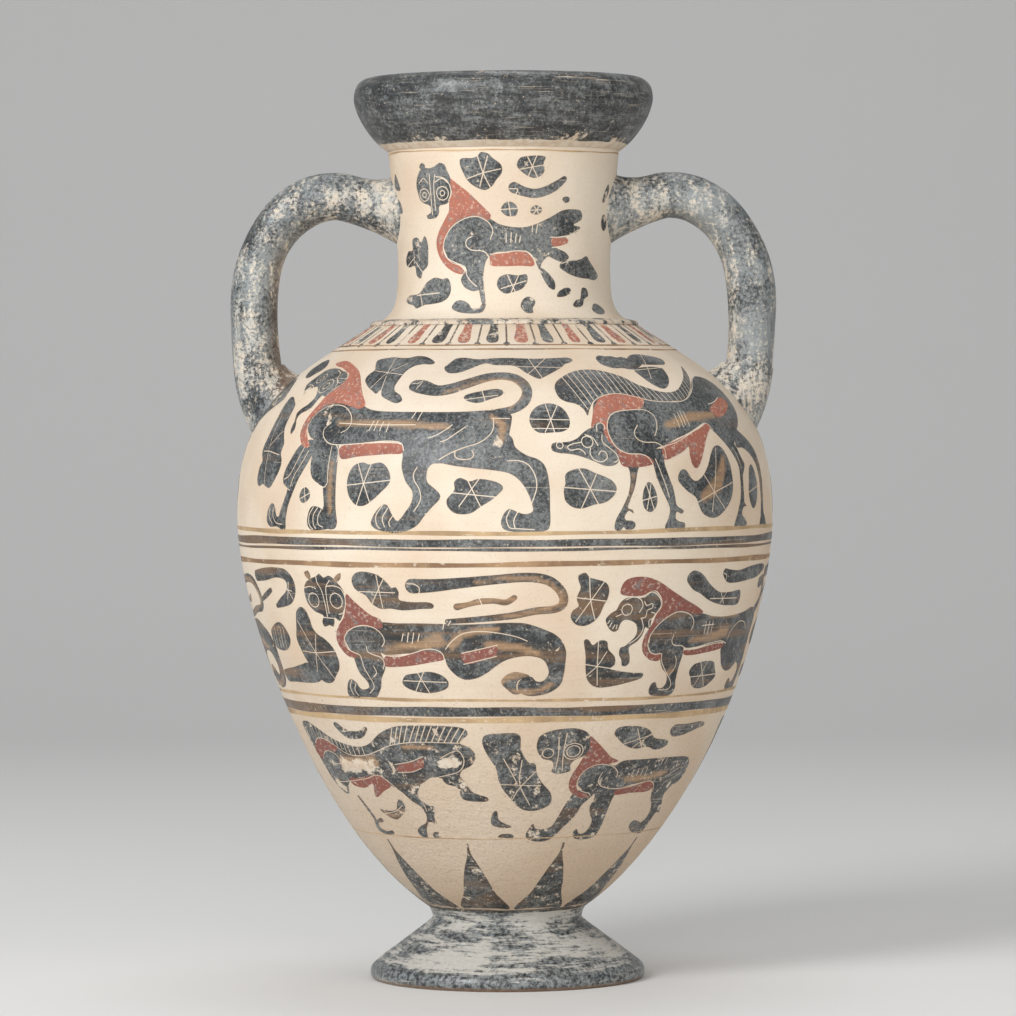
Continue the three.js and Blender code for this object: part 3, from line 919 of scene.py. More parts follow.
LION = {
    "bare": [
        [(-92, 58, 10), (-90, 50, 11), (-86, 44, 8)], [(-14, 50, 8), (-5, 47, 10), (-3, 38, 8)],
        [(-118, 66, 10), (-106, 50, 9)],
    ],
    "slip": [
        [(-126, 70), (-124, 74), (-121, 79), (-115, 80.5), (-108, 80), (-103, 78.5), (-98, 77.5),
         (-94, 74.5),
         (-92.5, 71), (-94, 69), (-96, 67), (-96.5, 64), (-99, 62), (-102, 62.5), (-103, 60), (-104, 56),
         (-107, 54), (-110, 52.5), (-111, 50), (-109.5, 47), (-109, 44.5), (-110.5, 42.5), (-112, 45),
         (-112, 49), (-113.5, 52.5), (-112, 55), (-109, 57), (-107, 60), (-107, 62.5), (-109.5, 66),
         (-113, 68), (-117, 66.5), (-119, 62.5), (-121.5, 65), (-124, 67)],
        [(-100, 49), (-99, 53), (-95, 56.5), (-88, 58), (-80, 57.5), (-72, 57.5), (-66, 55), (-58, 53.7),
         (-40, 53.3), (-20, 53.3), (-5, 54), (2.5, 52), (3, 48), (2, 42), (3, 38), (0, 33), (-12, 30),
         (-26, 29.5), (-36, 30), (-44, 34), (-46, 38.5), (-60, 39), (-74, 37.5), (-82, 38), (-90, 40),
         (-95, 41), (-99, 45)],
        [(-93, 43), (-91.5, 36), (-91, 28), (-89.5, 23.5), (-86, 21), (-82, 19.5), (-80, 23), (-80, 36),
         (-82, 42)],
        [(-83, 38), (-82, 28), (-82.5, 20), (-81.5, 12), (-82, 9), (-80, 2), (-76, 1.3), (-74.3, 4),
         (-75, 10), (-75.5, 22), (-76, 34), (-78, 39)],
        [(-82, 9.5), (-85, 10.7), (-88.5, 10.7), (-90.5, 8), (-91.3, 4), (-90, 1.3), (-86.5, 0.6), (-81, 1),
         (-78, 2), (-77, 6), (-79, 9)],
        [(-95, 40), (-91, 38.5), (-91, 34), (-93.5, 29), (-97.5, 23), (-101, 16.5), (-104, 10.5),
         (-105.5, 5), (-106, 0.8), (-110, 0.8), (-111, 4), (-109.5, 8.5), (-107, 13), (-105, 18),
         (-108, 20.5), (-108.7, 23.5), (-107.5, 27), (-104.5, 32), (-101, 37)],
        [(-108, 1), (-113, 1.8), (-118, 1.7), (-120.7, 4.5), (-119.5, 9), (-116.5, 11.8), (-114, 10.8),
         (-113.2, 8), (-112, 6), (-109, 6.5), (-107, 4)],
        [(-45, 39), (-44, 33), (-44, 28), (-42, 22), (-38.8, 17.5), (-39, 13), (-41.5, 9), (-45, 5),
         (-47.5, 7.5), (-50, 11.8), (-53, 11), (-56.3, 7), (-57.3, 3.5), (-54.5, 1.2), (-50, 0.3),
         (-46, -0.3), (-41, 0.8), (-36.5, 3.2), (-33.5, 7), (-30, 11), (-27, 14.2), (-27, 16.5),
         (-29.5, 19), (-32.3, 21.5), (-32.8, 25), (-31.5, 28.5), (-27, 31.5), (-27, 40), (-38, 45)],
        [(-28, 40), (-28, 31), (-24, 29), (-14, 27.5), (-5, 26.5), (2, 25), (6.5, 21.5), (9.5, 16.5),
         (11, 12), (11.3, 9), (8, 7.8), (4.5, 9), (1.5, 10), (-0.8, 7.5), (-1.7, 4), (-0.5, 1.5), (3, 0.5),
         (10, 0.3), (16, 0.6), (18.3, 3), (18.4, 12), (18.3, 20), (17, 27.5), (14, 31), (9, 33),
         (4.5, 36.5), (2, 42), (-10, 48)],
    ],
    "strokes": [
        [(-46, 68.5, 7), (-42, 67.5, 8), (-34, 65.2, 6.4), (-27, 66.2, 6.4), (-20, 69, 6), (-10, 73, 5.5),
         (-2, 74.3, 5), (5, 73, 5.3), (9.5, 69, 5.5), (11, 64, 5), (9, 58.5, 5), (4, 54.5, 4),
         (-4, 52.5, 4)],
    ],
    "thin": [
        [(-80, 48.5, 3), (-60, 48, 4), (-40, 47, 4), (-25, 46, 3)],
        [(-78.8, 31, 2.4), (-78.5, 18, 3), (-78, 8, 2.4)],
        [(-30, 63.8, 2), (-10, 70.8, 2.4), (0, 71.7, 2.4), (7, 67.5, 2.4), (7.4, 62, 2.4), (2, 55, 2)],
        [(-6, 51, 3), (-1, 46, 4), (-2, 39, 3)],
    ],
    "red": [
        [(-119, 84), (-113, 86), (-105, 85), (-98, 82.5), (-90, 79), (-84, 74.5), (-79, 69), (-73, 62),
         (-69, 57), (-72, 55), (-78, 56.5), (-85, 58), (-92, 57.5), (-97, 54), (-100, 49.5), (-99, 44),
         (-96.5, 40), (-94, 37), (-97, 36.2), (-101, 39), (-103.5, 44), (-103, 50), (-100, 57),
         (-98.5, 62), (-95, 67), (-92.5, 72), (-94.5, 76), (-100, 78.5), (-107, 81), (-113, 82)],
        [(-75, 37), (-60, 38.3), (-46, 38), (-44.5, 34), (-52, 33.5), (-65, 32.5), (-74, 31.5)],
    ],
    "cuts": [
        [(-98.5, 41), (-99.8, 46), (-98, 52), (-93, 56), (-87, 57.2), (-80.5, 56), (-75.5, 52.5),
         (-73.3, 48.5), (-74.2, 45), (-77.5, 43.2)],
        [(-85, 48), (-88, 45), (-87, 41.5), (-83, 38.5), (-77, 37.7), (-65, 38.3), (-55, 39.3), (-48, 39.2),
         (-45, 38), (-43.8, 35)],
        [(-80, 47.8), (-60, 47), (-40, 47)],
        [(-61, 49), (-62.5, 44)], [(-59, 49), (-59.8, 44)], [(-56, 48.5), (-57, 44)],
        [(-53, 48), (-53.5, 43.5)], [(-41, 53.5), (-42.5, 50)], [(-38, 53.5), (-39.5, 49)],
        [(-23, 47), (-26, 44.5), (-30, 42), (-33.5, 40.7)],
        [(-17, 46), (-21, 43), (-25, 40), (-28, 39)],
        [(-28, 31), (-23, 34), (-17, 36.5), (-11, 38.5), (-7, 41.5), (-5, 45), (-5, 50)],
        [(-6, 50), (2.5, 49.8)],
        [(-21, 35), (-21, 32.5), (-18.5, 31.2), (-14.5, 31.5), (-13, 33), (-14, 35.3)],
        [(-37, 28), (-38.5, 25), (-38, 22), (-36, 19), (-35, 15), (-36, 12), (-38, 9)],
        [(-52, 11.5), (-55, 7), (-54.5, 3), (-53, 1.7)], [(-49.5, 10.5), (-52, 6), (-51, 2.3)],
        [(-47, 7.5), (-49, 4.5), (-48.5, 2.5)],
        [(1, 30.5), (6, 30.5), (10, 28.5), (12.5, 24), (13, 19), (11.5, 14), (10, 10.5)],
        [(2, 9.5), (0.5, 6), (1.5, 2.5), (3, 1.7)], [(5, 8.5), (3.5, 5), (4, 2)], [(3.5, 1.8), (12, 1.2)],
        [(-80.5, 37), (-80.5, 28), (-80.3, 20.5), (-82.5, 19)], [(-78, 37.5), (-76.3, 35), (-76.2, 30)],
        [(-87.5, 10.5), (-90, 7), (-90, 3), (-88, 1)], [(-85, 10.3), (-87.5, 7), (-87.5, 3), (-86, 1.2)],
        [(-83, 9.5), (-85, 6), (-84.5, 3), (-82, 2)],
        [(-97, 37), (-99.5, 32), (-102.5, 26.5), (-105, 23.5), (-108, 22.3)],
        [(-94, 35), (-97, 29.5), (-101, 24), (-103, 19)], [(-103, 17.5), (-106, 18.7)],
        [(-114, 11), (-115.5, 7), (-113, 3.5), (-108, 2.8)], [(-118, 10), (-118.5, 6), (-116, 3)],
        ring(-116, 73.5, 3.2), ring(-116, 73.5, 1.3), ring(-105, 68.5, 4.3), ring(-105, 68.5, 2),
        [(-101.5, 73), (-100, 76.5), (-96, 77), (-93.5, 74), (-94.5, 71), (-97.5, 70.5), (-99, 72.5)],
        [(-108, 79), (-103, 77), (-101, 73.5), (-97.5, 70), (-96.8, 66), (-98.5, 63)],
        [(-124, 69), (-119, 69), (-114, 66.5)],
        [(-48.5, 69.5), (-45, 69.8), (-43, 71.5), (-43.5, 69), (-45, 66)],
    ],
}

LION_FILLERS = {
    "slip": [
        [(-82, 86), (-79, 87.5), (-72, 88.5), (-66, 88), (-60, 88), (-55, 89.3), (-49, 88.7), (-44, 86.5),
         (-41, 84), (-43, 82.8), (-48, 83), (-53, 81.5), (-56, 78), (-57, 73), (-57.5, 68), (-56, 65),
         (-52, 62.5), (-50, 59.5), (-52.5, 58), (-57, 59.5), (-62, 62), (-64.5, 66), (-66, 63.5),
         (-69, 65), (-74, 68), (-78.5, 72), (-79, 76), (-77.5, 79), (-80.5, 83)],
        [(-19.5, 61), (-17.5, 63), (-10, 65), (-4, 66), (-1, 65), (-0.5, 63.5), (-2, 61.8), (-6, 60.3),
         (-12, 58), (-17, 58.8)],
        [(-34, 80.5), (-32, 83.5), (-29, 87), (-24, 87.7), (-15, 86.5), (-5, 87.3), (5, 87.3), (18, 86.7),
         (33, 87.3), (38, 87.5), (41, 86), (39, 84), (35, 82.5), (32, 80), (27, 77), (21, 73.5),
         (18.5, 72.3), (15.5, 73.5), (11, 77), (7, 80.7), (3, 81.8), (-5, 82), (-11, 83.3), (-18, 80),
         (-24, 77), (-29, 76.3), (-32, 77.5)],
        [(-69.5, 20), (-69, 25), (-66.5, 28.7), (-62.5, 29.9), (-59.5, 29), (-57, 29.5), (-53.5, 29.8),
         (-50.5, 27.5), (-48.8, 23.5), (-49.5, 20.5), (-53, 17), (-57, 13.5), (-61, 11.3), (-65, 11.8),
         (-68.3, 15.5)],
        [(-24, 14), (-23.5, 11), (-21, 8.5), (-17.5, 7.8), (-13.5, 8.5), (-10, 11), (-6, 13.5),
         (-2.5, 16.5), (-0.7, 19), (-2.5, 21), (-6.5, 22.3), (-11, 22.8), (-14.5, 21.8), (-18.5, 23.3),
         (-21, 21.5), (-20.7, 18.5), (-22, 16.5)],
        [(-96.3, 15), (-95, 18), (-92.5, 19), (-90, 17), (-90, 14.5), (-92.5, 12.5), (-95, 12.5)],
        [(-132, 61.5), (-128, 61.5), (-124, 59.5), (-120, 57), (-118.5, 52), (-118, 46), (-116, 42),
         (-113.5, 38), (-114, 34), (-112, 30), (-112.5, 26.5), (-115.5, 22), (-119, 18.5), (-122.5, 18.8),
         (-126, 20), (-130, 19), (-132.5, 22), (-132, 27), (-130, 30), (-132, 33), (-132.5, 37),
         (-131, 42), (-130.5, 50), (-132, 57)],
        [(-147, 80), (-143, 86), (-136, 87), (-129, 83.5), (-127, 80), (-130, 77), (-134, 74),
         (-140, 74.5)],
    ],
    "cuts": [
        [(-69.5, 88), (-67, 76)], [(-77, 78.5), (-56, 75.5)], [(-67.5, 77), (-71.5, 67)],
        [(-66.5, 75), (-64, 65)], [(-66, 78), (-58, 84)], [(-20, 59.7), (-3, 62.3)], [(-11, 65),
                                                                                      (-9, 58.5)],
        [(14, 87.5), (20, 72.5)], [(25, 87.5), (12.5, 75.5)], [(7, 81), (32, 80)],
        [(-65, 30), (-58, 12.8)], [(-58.3, 29.5), (-64.5, 11.2)], [(-70, 20), (-48.5, 22.3)],
        [(-15.5, 22.5), (-10, 11)], [(-10.5, 23), (-19, 11)], [(-22, 17), (-3, 15)],
        [(-93.5, 19), (-92.5, 12.5)], [(-96, 14), (-90, 16.5)],
        [(-127, 52), (-126.5, 40), (-124.5, 19.5)], [(-131, 34.5), (-125, 34.5), (-115, 33)],
        [(-126, 37), (-118, 44)],
    ],
}

CREST_TOP = [(25, 64), (27.5, 70), (34, 75.5), (42, 78), (52, 78.3), (62, 75), (71, 69), (80, 65),
             (90, 63.5),
             (100, 66.5), (112, 73), (122, 79.5)]
CREST_FOOT = [(39, 54), (41, 57), (44, 60), (49, 62), (56, 63), (63, 62), (70, 60.3), (78, 58.8),
              (88, 58.4),
              (98, 60.3), (108, 65), (118, 72)]

BOAR = {
    "slip": [
        [(25, 66), (26.5, 70), (30, 73), (35, 76), (41, 78), (48, 78.5), (54, 77.8), (60, 76), (66, 73),
         (71, 69), (76, 66.5), (83, 64), (90, 63.5), (97, 65), (104, 68.5), (112, 73), (118, 77), (124, 81),
         (120, 75), (112, 68), (106, 64), (98, 60), (88, 58.3), (78, 58.5), (70, 60), (62, 62), (55, 63),
         (48, 62), (43, 59), (39.5, 54), (38, 51), (37, 54), (34, 57), (29, 58.5), (26, 61)],
        [(45, 62), (56, 63), (66, 61), (76, 58.5), (88, 58), (98, 60), (106, 63.5), (114, 69), (122, 73),
         (131, 73.5), (139, 71), (143, 66), (143, 58), (140, 52), (133, 46), (126, 42), (122, 38),
         (119, 36), (113, 37.5), (108, 43), (104, 46.5), (98, 45.5), (88, 42), (80, 39.5), (74, 37),
         (68, 35), (66, 30), (60, 29), (48, 33), (42, 40), (40, 48)],
        [(20, 37.5), (22, 38.5), (27, 38.7), (31, 40), (34, 42.5), (37, 44.5), (40, 45.5), (41.5, 47.5),
         (43.5, 48), (45.3, 46.5), (45, 44), (44, 42), (46.5, 38), (49, 35), (49.5, 31), (47.5, 28.5),
         (43, 28), (38, 30), (33, 32), (28, 33.3), (23, 33.8), (20, 35)],
        [(52, 30), (53.5, 26.5), (53.8, 22), (52.5, 16), (49.5, 10), (46.5, 5), (46, 1), (48.5, 0.3),
         (50, 2), (51, 0.8), (54.5, 1), (55.5, 3), (54, 4.5), (51, 4.8), (50.5, 6.5), (52.5, 8.8),
         (54.5, 7.5), (54, 9.3), (52, 10), (53.5, 14), (55.5, 18.5), (57.5, 25.5), (58.5, 29)],
        [(64, 34), (65.5, 29), (67, 22), (70, 15), (72.5, 9.5), (71.5, 5), (70, 2), (70.5, 0.2), (74, 0),
         (77, 0.5), (80, 0.5), (80.5, 3), (77.5, 3.8), (75.5, 5), (76, 8), (78.5, 7), (80, 8.2), (78, 9.5),
         (76, 11), (75, 17), (73, 23), (71.5, 29), (72, 35)],
        [(104, 46.5), (110, 40), (114, 36), (118, 31), (120, 27), (120, 22), (119, 14), (116, 7), (113, 1),
         (118, 0.5), (124, 1.5), (122, 4), (119.5, 6), (121, 9), (124, 9.5), (122, 11), (122, 14),
         (122.5, 22), (124.5, 25), (126, 28), (124, 31), (121, 37), (116, 44)],
        [(122, 36), (128, 35), (134, 32.5), (139, 28), (141, 22), (141, 12), (140, 5), (139, 0.5),
         (148, 0.5), (146.5, 4), (144.5, 6), (144, 10), (144.5, 16), (145, 24), (143.5, 31), (139, 37),
         (131, 42), (126, 45)],
    ],
    "thin": [
        [(78, 46, 4), (95, 50, 5), (112, 51, 4)], [(142.5, 30, 2), (142.5, 12, 2)],
        [(55.5, 24, 1.6), (53, 14, 1.6)],
    ],
    "red": [
        [(38.5, 45), (40, 50), (42, 55), (46, 60), (52, 62.5), (58, 63), (64, 61.8), (70, 60), (68.5, 56),
         (65, 54), (60, 54), (54, 53.3), (49, 51), (46.8, 47), (46.3, 42), (48, 38), (51, 34.5), (56, 33),
         (62, 32.7), (66, 30), (65, 28.3), (58, 27.3), (51, 27.8), (49.5, 31), (48.5, 35.5), (45.5, 39),
         (44, 43), (44.5, 46), (43, 48), (41, 47)],
        [(72, 36), (80, 38.7), (90, 42), (98, 44.5), (104, 46.8), (105.5, 45), (101, 41), (97, 36),
         (93, 30),
         (89.5, 26.5), (87, 28), (86.5, 33), (86.8, 36), (83, 34), (78, 32), (72, 30.5)],
        [(113, 54), (120, 57), (128, 59.5), (134, 60), (136, 57), (130, 53.5), (122, 50.5), (115, 50)],
    ],
    "cuts": bristles(CREST_TOP, CREST_FOOT, 27, 0.1) + [
        ring(35.8, 38.7, 2.6), ring(23.5, 37.2, 1.5),
        [(33, 38.5), (29, 37.7), (26.8, 36.5), (28, 35), (32, 35.5), (34, 34), (34.5, 33)],
        [(37, 36), (36.5, 33.5), (38, 30.8), (41.5, 29.8), (44, 31.5), (43.5, 34), (41.5, 34.5),
         (40.2, 32.8)],
        [(41, 43.5), (41.3, 46.5), (43.3, 47.5), (45, 46), (44.3, 44)], [(35, 42), (38.5, 40.5),
                                                                         (40.5, 36.8)],
        [(43, 42), (42.8, 38.5), (46, 35.5), (48.5, 33), (49, 30.5), (47, 29.5)],
        [(69, 41), (71.5, 45), (72.3, 49.5), (70.5, 52.5), (66.5, 54), (60, 53.8), (53, 53), (48.5, 50.5),
         (46.3, 46), (46.5, 41), (49, 36), (54, 33.3), (60, 33), (63.5, 31.5), (65.5, 28.5)],
        [(61.5, 46.3), (59, 43), (59.5, 40), (63, 38.3), (69, 38), (72.5, 35.5), (72.8, 31)],
        [(72.5, 36.3), (80, 38), (90, 42), (98, 45.5), (103.5, 46.8), (107, 43.5)],
        [(39.5, 52), (41, 56), (45, 60), (51, 62.3), (58, 62.8), (66, 61), (74, 58.8), (84, 58), (94, 58.3),
         (102, 61), (110, 65.5), (118, 71), (125, 73.8)],
        [(84.5, 52), (84.8, 45)], [(87, 52.5), (87.3, 45)], [(89, 53), (89, 46)], [(91, 53), (91.3, 45.5)],
        [(67, 31), (69, 25), (71, 19), (72.5, 14)], [(114, 56.5), (122, 58), (130, 60.5)],
        [(118, 35.5), (121, 31), (122.5, 26)],
    ],
}

BOAR_FILLERS = {
    "slip": [
        [(59, 13.5), (60, 18), (62, 20.8), (64, 20), (65.8, 16.5), (66.2, 12.5), (65, 9.5), (62.5, 8),
         (60, 9.5)],
        [(24.3, 16), (25, 13), (28, 10.5), (32, 10), (37, 11.5), (42, 12.5), (46, 15.5), (47.2, 18.5),
         (45.5, 21.5), (42, 23.5), (38, 25), (33.5, 27), (28.5, 26.5), (25.2, 24.5), (25, 20.5),
         (24.3, 18.5)],
        [(11, 49.5), (12.5, 53.5), (16, 56.5), (21, 57.5), (25.5, 56), (28, 53), (29.2, 49), (28.5, 45.5),
         (25.5, 43.5), (20, 43), (15, 43), (12, 45.5)],
        [(78, 21), (78.5, 24), (80.5, 26), (83, 25.5), (85.5, 22), (88.5, 21), (93, 23.5), (97, 28),
         (100, 32.5), (103, 35.5), (107, 36.3), (110.5, 33.5), (112.8, 28), (113.2, 20), (111.5, 14),
         (107, 9), (101, 5.5), (96, 5), (91, 7), (88.5, 11), (87, 14), (82, 17)],
        [(57, 87), (60, 89), (65, 88.5), (69, 88.5), (72, 87.5), (76, 88), (80, 86.5), (83, 84), (88, 83),
         (82, 80), (76, 78.5), (70, 79.5), (64, 79.5), (59, 81.5), (57, 84)],
        [(77, 78.5), (84, 80), (92, 80.5), (99, 80), (101, 79), (99, 74), (95, 69.5), (90, 66.3),
         (86, 65.8),
         (82, 68.5), (79, 72.5)],
        [(80, 86.5), (86, 89.5), (93, 90), (101, 89), (108, 87.5), (111, 85.5), (108, 82.5), (101, 82),
         (94, 82), (87, 82.5)],
        [(127, 15), (128, 20), (130, 25.5), (133, 27.5), (136, 24.5), (137, 19), (136, 13), (133, 9),
         (130.5, 8.3), (128, 11)],
    ],
    "thin": [[(92, 14, 5), (102, 20, 7), (108, 30, 4)]],
    "cuts": [
        [(61, 20.5), (64.5, 9)], [(63.5, 20), (61, 9)], [(59, 13), (66, 14.7)], [(31, 27), (39, 11.5)],
        [(38.5, 24.5), (31.5, 10)], [(24.5, 19), (47, 17)], [(19, 57), (21.8, 43)], [(24.5, 56.5),
                                                                                     (17.5, 43)],
        [(11, 49.5), (29, 49)], [(11.5, 45), (29, 44.8)], [(93, 24), (99, 16), (106, 8.5)],
        [(104.5, 35.5), (100, 20), (97, 7.5)], [(87.5, 11.5), (99, 15.8), (113, 20)],
        [(95, 90), (84, 72)], [(76, 78), (102, 80)], [(127, 15.3), (137, 18)],
    ],
}

PANTHER = {
    "slip": [
        [(-95, 44), (-95.3, 48), (-93.5, 51.5), (-90, 53.5), (-86.5, 54.5), (-84.5, 55.7), (-82, 54),
         (-79.5, 55), (-77, 54), (-74.5, 51.5), (-72.5, 49), (-71.8, 45), (-72.5, 41), (-74.5, 38),
         (-77, 35), (-79.5, 36.5), (-80.3, 34), (-81.5, 32.3), (-83.5, 33), (-85, 32.5), (-87, 32.3),
         (-87.5, 34.5), (-86, 37), (-88, 38), (-91, 39), (-93.8, 41.5)],
        [(-93.5, 56), (-91, 57), (-89.8, 54.5), (-91, 53), (-93, 54.5)],
        [(-76.5, 53.5), (-74.5, 55.5), (-72.5, 56.2), (-72.8, 54), (-75, 52.3)],
        [(-76, 26), (-75, 29.5), (-71, 32.3), (-65, 33.3), (-60, 32.8), (-55.5, 34.8), (-48, 34.5),
         (-40, 34.6), (-30, 34.5), (-20, 34.2), (-10, 34.5), (0, 35), (7, 34.8), (12, 33.5), (17, 31.5),
         (21, 29.5), (24, 26), (20, 22), (10, 22), (0, 20), (-10, 17), (-22, 16), (-28, 19), (-36, 21.5),
         (-45, 21), (-55, 20), (-58, 21), (-60, 19), (-66, 19), (-73, 20.5)],
        [(-73, 21), (-73, 16), (-72, 11.5), (-69, 8), (-68.5, 5), (-72, 3.8), (-74, 4.5), (-75.5, 7),
         (-78, 8.5), (-80.5, 7), (-82.3, 3.5), (-82.3, 0.7), (-79, -0.3), (-72, 0.3), (-66, 0.2),
         (-63.5, 2.5), (-61.5, 5.5), (-60.5, 9), (-58.5, 12), (-57, 15), (-57.5, 19), (-60, 23), (-68, 24)],
        [(-27.5, 19), (-26.5, 23), (-22, 28.5), (-16, 30.5), (-8, 30.5), (2, 28.5), (10, 27), (17, 25),
         (22, 22), (24, 26), (26, 22), (26, 17), (25.5, 11), (24, 6.5), (20, 3.5), (15, 2), (9, 1.8),
         (5, 4), (5, 8), (8, 10.5), (11, 10.5), (13, 8.5), (16, 8.5), (18.5, 11.5), (18, 15), (15.5, 18.5),
         (10, 20), (4, 19.5), (-1, 18), (-5, 15.5), (-9, 12.5), (-14, 10), (-19, 9.3), (-23, 11),
         (-26.5, 15)],
        [(-3, 8), (-1, 11), (3, 12.8), (8, 12), (10, 10.5), (5, 9), (4, 5), (6, 3), (3, 2.5), (0, 4.5)],
    ],
    "strokes": [
        [(-39, 51, 6.5), (-30, 51.3, 5.6), (-18, 52.5, 4.6), (-5, 53.8, 4), (8, 54.8, 4), (17, 53.5, 4.2),
         (22.5, 49, 4), (24, 44, 3.8), (21, 41, 3.4), (12, 40, 3.2), (2, 38, 3), (-12, 36.5, 2.6),
         (-25, 35.5, 2.2)],
    ],
    "thin": [
        [(-55, 23, 3), (-40, 24.5, 5), (-30, 27, 7)], [(-24, 25, 5), (-18, 30, 4), (-4, 32, 3)],
        [(-12, 53.2, 1.8), (6, 54.4, 2.4), (16, 52.8, 3), (21.5, 48.5, 3), (22.5, 44, 3), (12, 40, 2.4),
         (-4, 37.2, 2)],
        [(-3, 8, 3), (1, 11, 4), (8, 11.5, 3)], [(0, 4.8, 2), (6, 3.4, 3), (14, 4, 3), (20, 7, 3)],
        [(-92, 55.5, 4), (-91, 54, 3)], [(-75.5, 53.6, 3), (-73.3, 55.2, 3)],
        [(-8, 25, 4), (4, 24, 4), (14, 21, 3)],
    ],
    "red": [
        [(-71, 47), (-68, 44.5), (-64, 41), (-60, 38), (-55.5, 36), (-55, 32.5), (-58, 32), (-62, 33.3),
         (-67, 33.3), (-72, 31.5), (-75.5, 28.5), (-76.3, 25), (-75, 22), (-72, 20.3), (-72, 18.5),
         (-76, 19), (-79, 21.5), (-81, 25.5), (-80.3, 29.5), (-78, 33), (-74.5, 36.5), (-72.5, 41)],
        [(-57, 15), (-56, 19.5), (-48, 20), (-40, 22), (-33, 22.3), (-29, 20.5), (-28, 18.5), (-36, 16.8),
         (-46, 15.2)],
        [(-20, 21), (-12, 23), (-5, 24.8), (-4.5, 21), (-10, 18.5), (-18, 16.5)],
    ],
    "cuts": [
        ring(-90.2, 44, 3.2), ring(-77, 44, 3.4),
        [(-95, 49.3), (-91, 50), (-87.5, 49)],
        [(-86.5, 55), (-86.5, 52), (-84.5, 48.5), (-83.7, 43), (-83.7, 36.5)],
        [(-79, 53), (-81.5, 50), (-82.2, 45), (-82.3, 38)],
        [(-81, 50.3), (-77, 50.5), (-73.5, 49.3), (-72, 46), (-72.3, 42), (-74.5, 38.5), (-77, 38)],
        [(-88, 36.5), (-80, 36)],
        [(-57, 23.7), (-55.2, 26.5), (-56.5, 30), (-60.5, 32.7), (-67, 33), (-73, 30.8), (-76.5, 27),
         (-76, 22.8), (-73, 21), (-69.5, 19.5), (-69, 15), (-68, 12), (-66, 8), (-65.7, 5), (-69, 2)],
        [(-65, 24), (-65, 21.5), (-62, 20), (-58.5, 19), (-57.3, 16.5), (-58.5, 13.5)],
        [(-63.5, 15), (-62.5, 12), (-64.5, 9.8)],
        [(-57, 20), (-50, 19.5), (-43, 21), (-36, 23), (-31.5, 22.8), (-28.5, 21), (-28, 18.5)],
        [(-45.5, 30), (-46.8, 26.5)], [(-43, 30.5), (-44.2, 26)], [(-40.5, 30.5), (-42, 25.5)],
        [(-38, 30), (-39.2, 26.5)], [(-26.5, 35), (-27.3, 32)], [(-23.5, 36), (-25, 33.5)],
        [(-27, 23), (-24, 26.5), (-19, 30), (-12, 31.2), (-4, 30.5), (4, 28.8), (9, 26.7)],
        [(-20, 21.3), (-4, 25)], [(-19.5, 16.3), (-4.5, 20)],
        [(-78, 8), (-80, 4.5), (-79, 1)], [(-76, 6.5), (-77.5, 3.5), (-76, 0.8)],
        [(-41.5, 52), (-38, 51.8), (-36, 50), (-36.5, 47.5)],
    ],
}

PANTHER_FILLERS = {
    "slip": [
        [(-67, 54), (-64.5, 56.5), (-60, 57), (-54, 55.5), (-50, 52), (-48.5, 50), (-46.5, 50.5),
         (-45.3, 48), (-45.5, 45), (-40, 44), (-33, 44), (-30.5, 43), (-31, 41.3), (-36, 41), (-44, 40.3),
         (-50, 41), (-54.5, 40.8), (-58.5, 43), (-61, 46.5), (-65.5, 49), (-67, 51.5)],
        [(-49.7, 8), (-47.5, 11), (-42, 12), (-36, 12.8), (-30.5, 11.5), (-27.3, 8.5), (-28, 5.5),
         (-32, 3.7), (-38, 2.9), (-45, 4), (-49, 6)],
    ],
    "strokes": [
        [(-20.5, 42, 3), (-16, 43, 2.2), (-11, 44.3, 2.6), (-5, 44.6, 2.4), (0, 44, 2.6), (3.5, 46, 2.4)],
    ],
    "thin": [[(-20.5, 42, 3), (-11, 44.3, 3), (3.5, 45.5, 3)]],
    "cuts": [
        [(-55, 55.5), (-53.5, 41)], [(-51.5, 54.5), (-58.5, 43)], [(-64, 48.3), (-47, 48)],
        [(-41.5, 12.3), (-37, 3)], [(-38.5, 12.5), (-43.5, 4)], [(-49, 8.5), (-28, 8)],
        [(-11, 45.8), (-10, 43)],
    ],
}

BETWEEN_FILLERS = {
    "slip": [
        [(30, 55.5), (33, 56.5), (34.5, 54.5), (38, 53.5), (42, 52), (43.5, 49), (43, 45), (41.5, 42),
         (40, 38), (37.5, 35), (33.5, 33.2), (29.5, 34), (27.3, 37), (28, 40), (30.5, 42), (29.5, 45.5),
         (31, 50), (30, 53)],
        [(33.8, 26.5), (35.8, 27), (38, 24.5), (41, 26.5), (44.5, 26), (45.5, 22.5), (49, 19), (49.5, 15.5),
         (47.5, 13.5), (53, 12.3), (60, 11.3), (65, 11), (64.5, 8.8), (58, 7), (50, 5.5), (43, 5),
         (39, 6.5),
         (36.5, 9.5), (35.5, 14), (35, 20)],
    ],
    "cuts": [
        [(34.5, 56), (35.5, 45), (38, 36)], [(41.5, 53), (29.5, 35)], [(29.5, 45.7), (42.5, 44)],
        [(40.5, 26), (41, 15), (42, 6)], [(45, 21.5), (41, 15), (36, 10.5)], [(34, 16), (41, 14.8),
                                                                              (49, 13.5)],
    ],
}

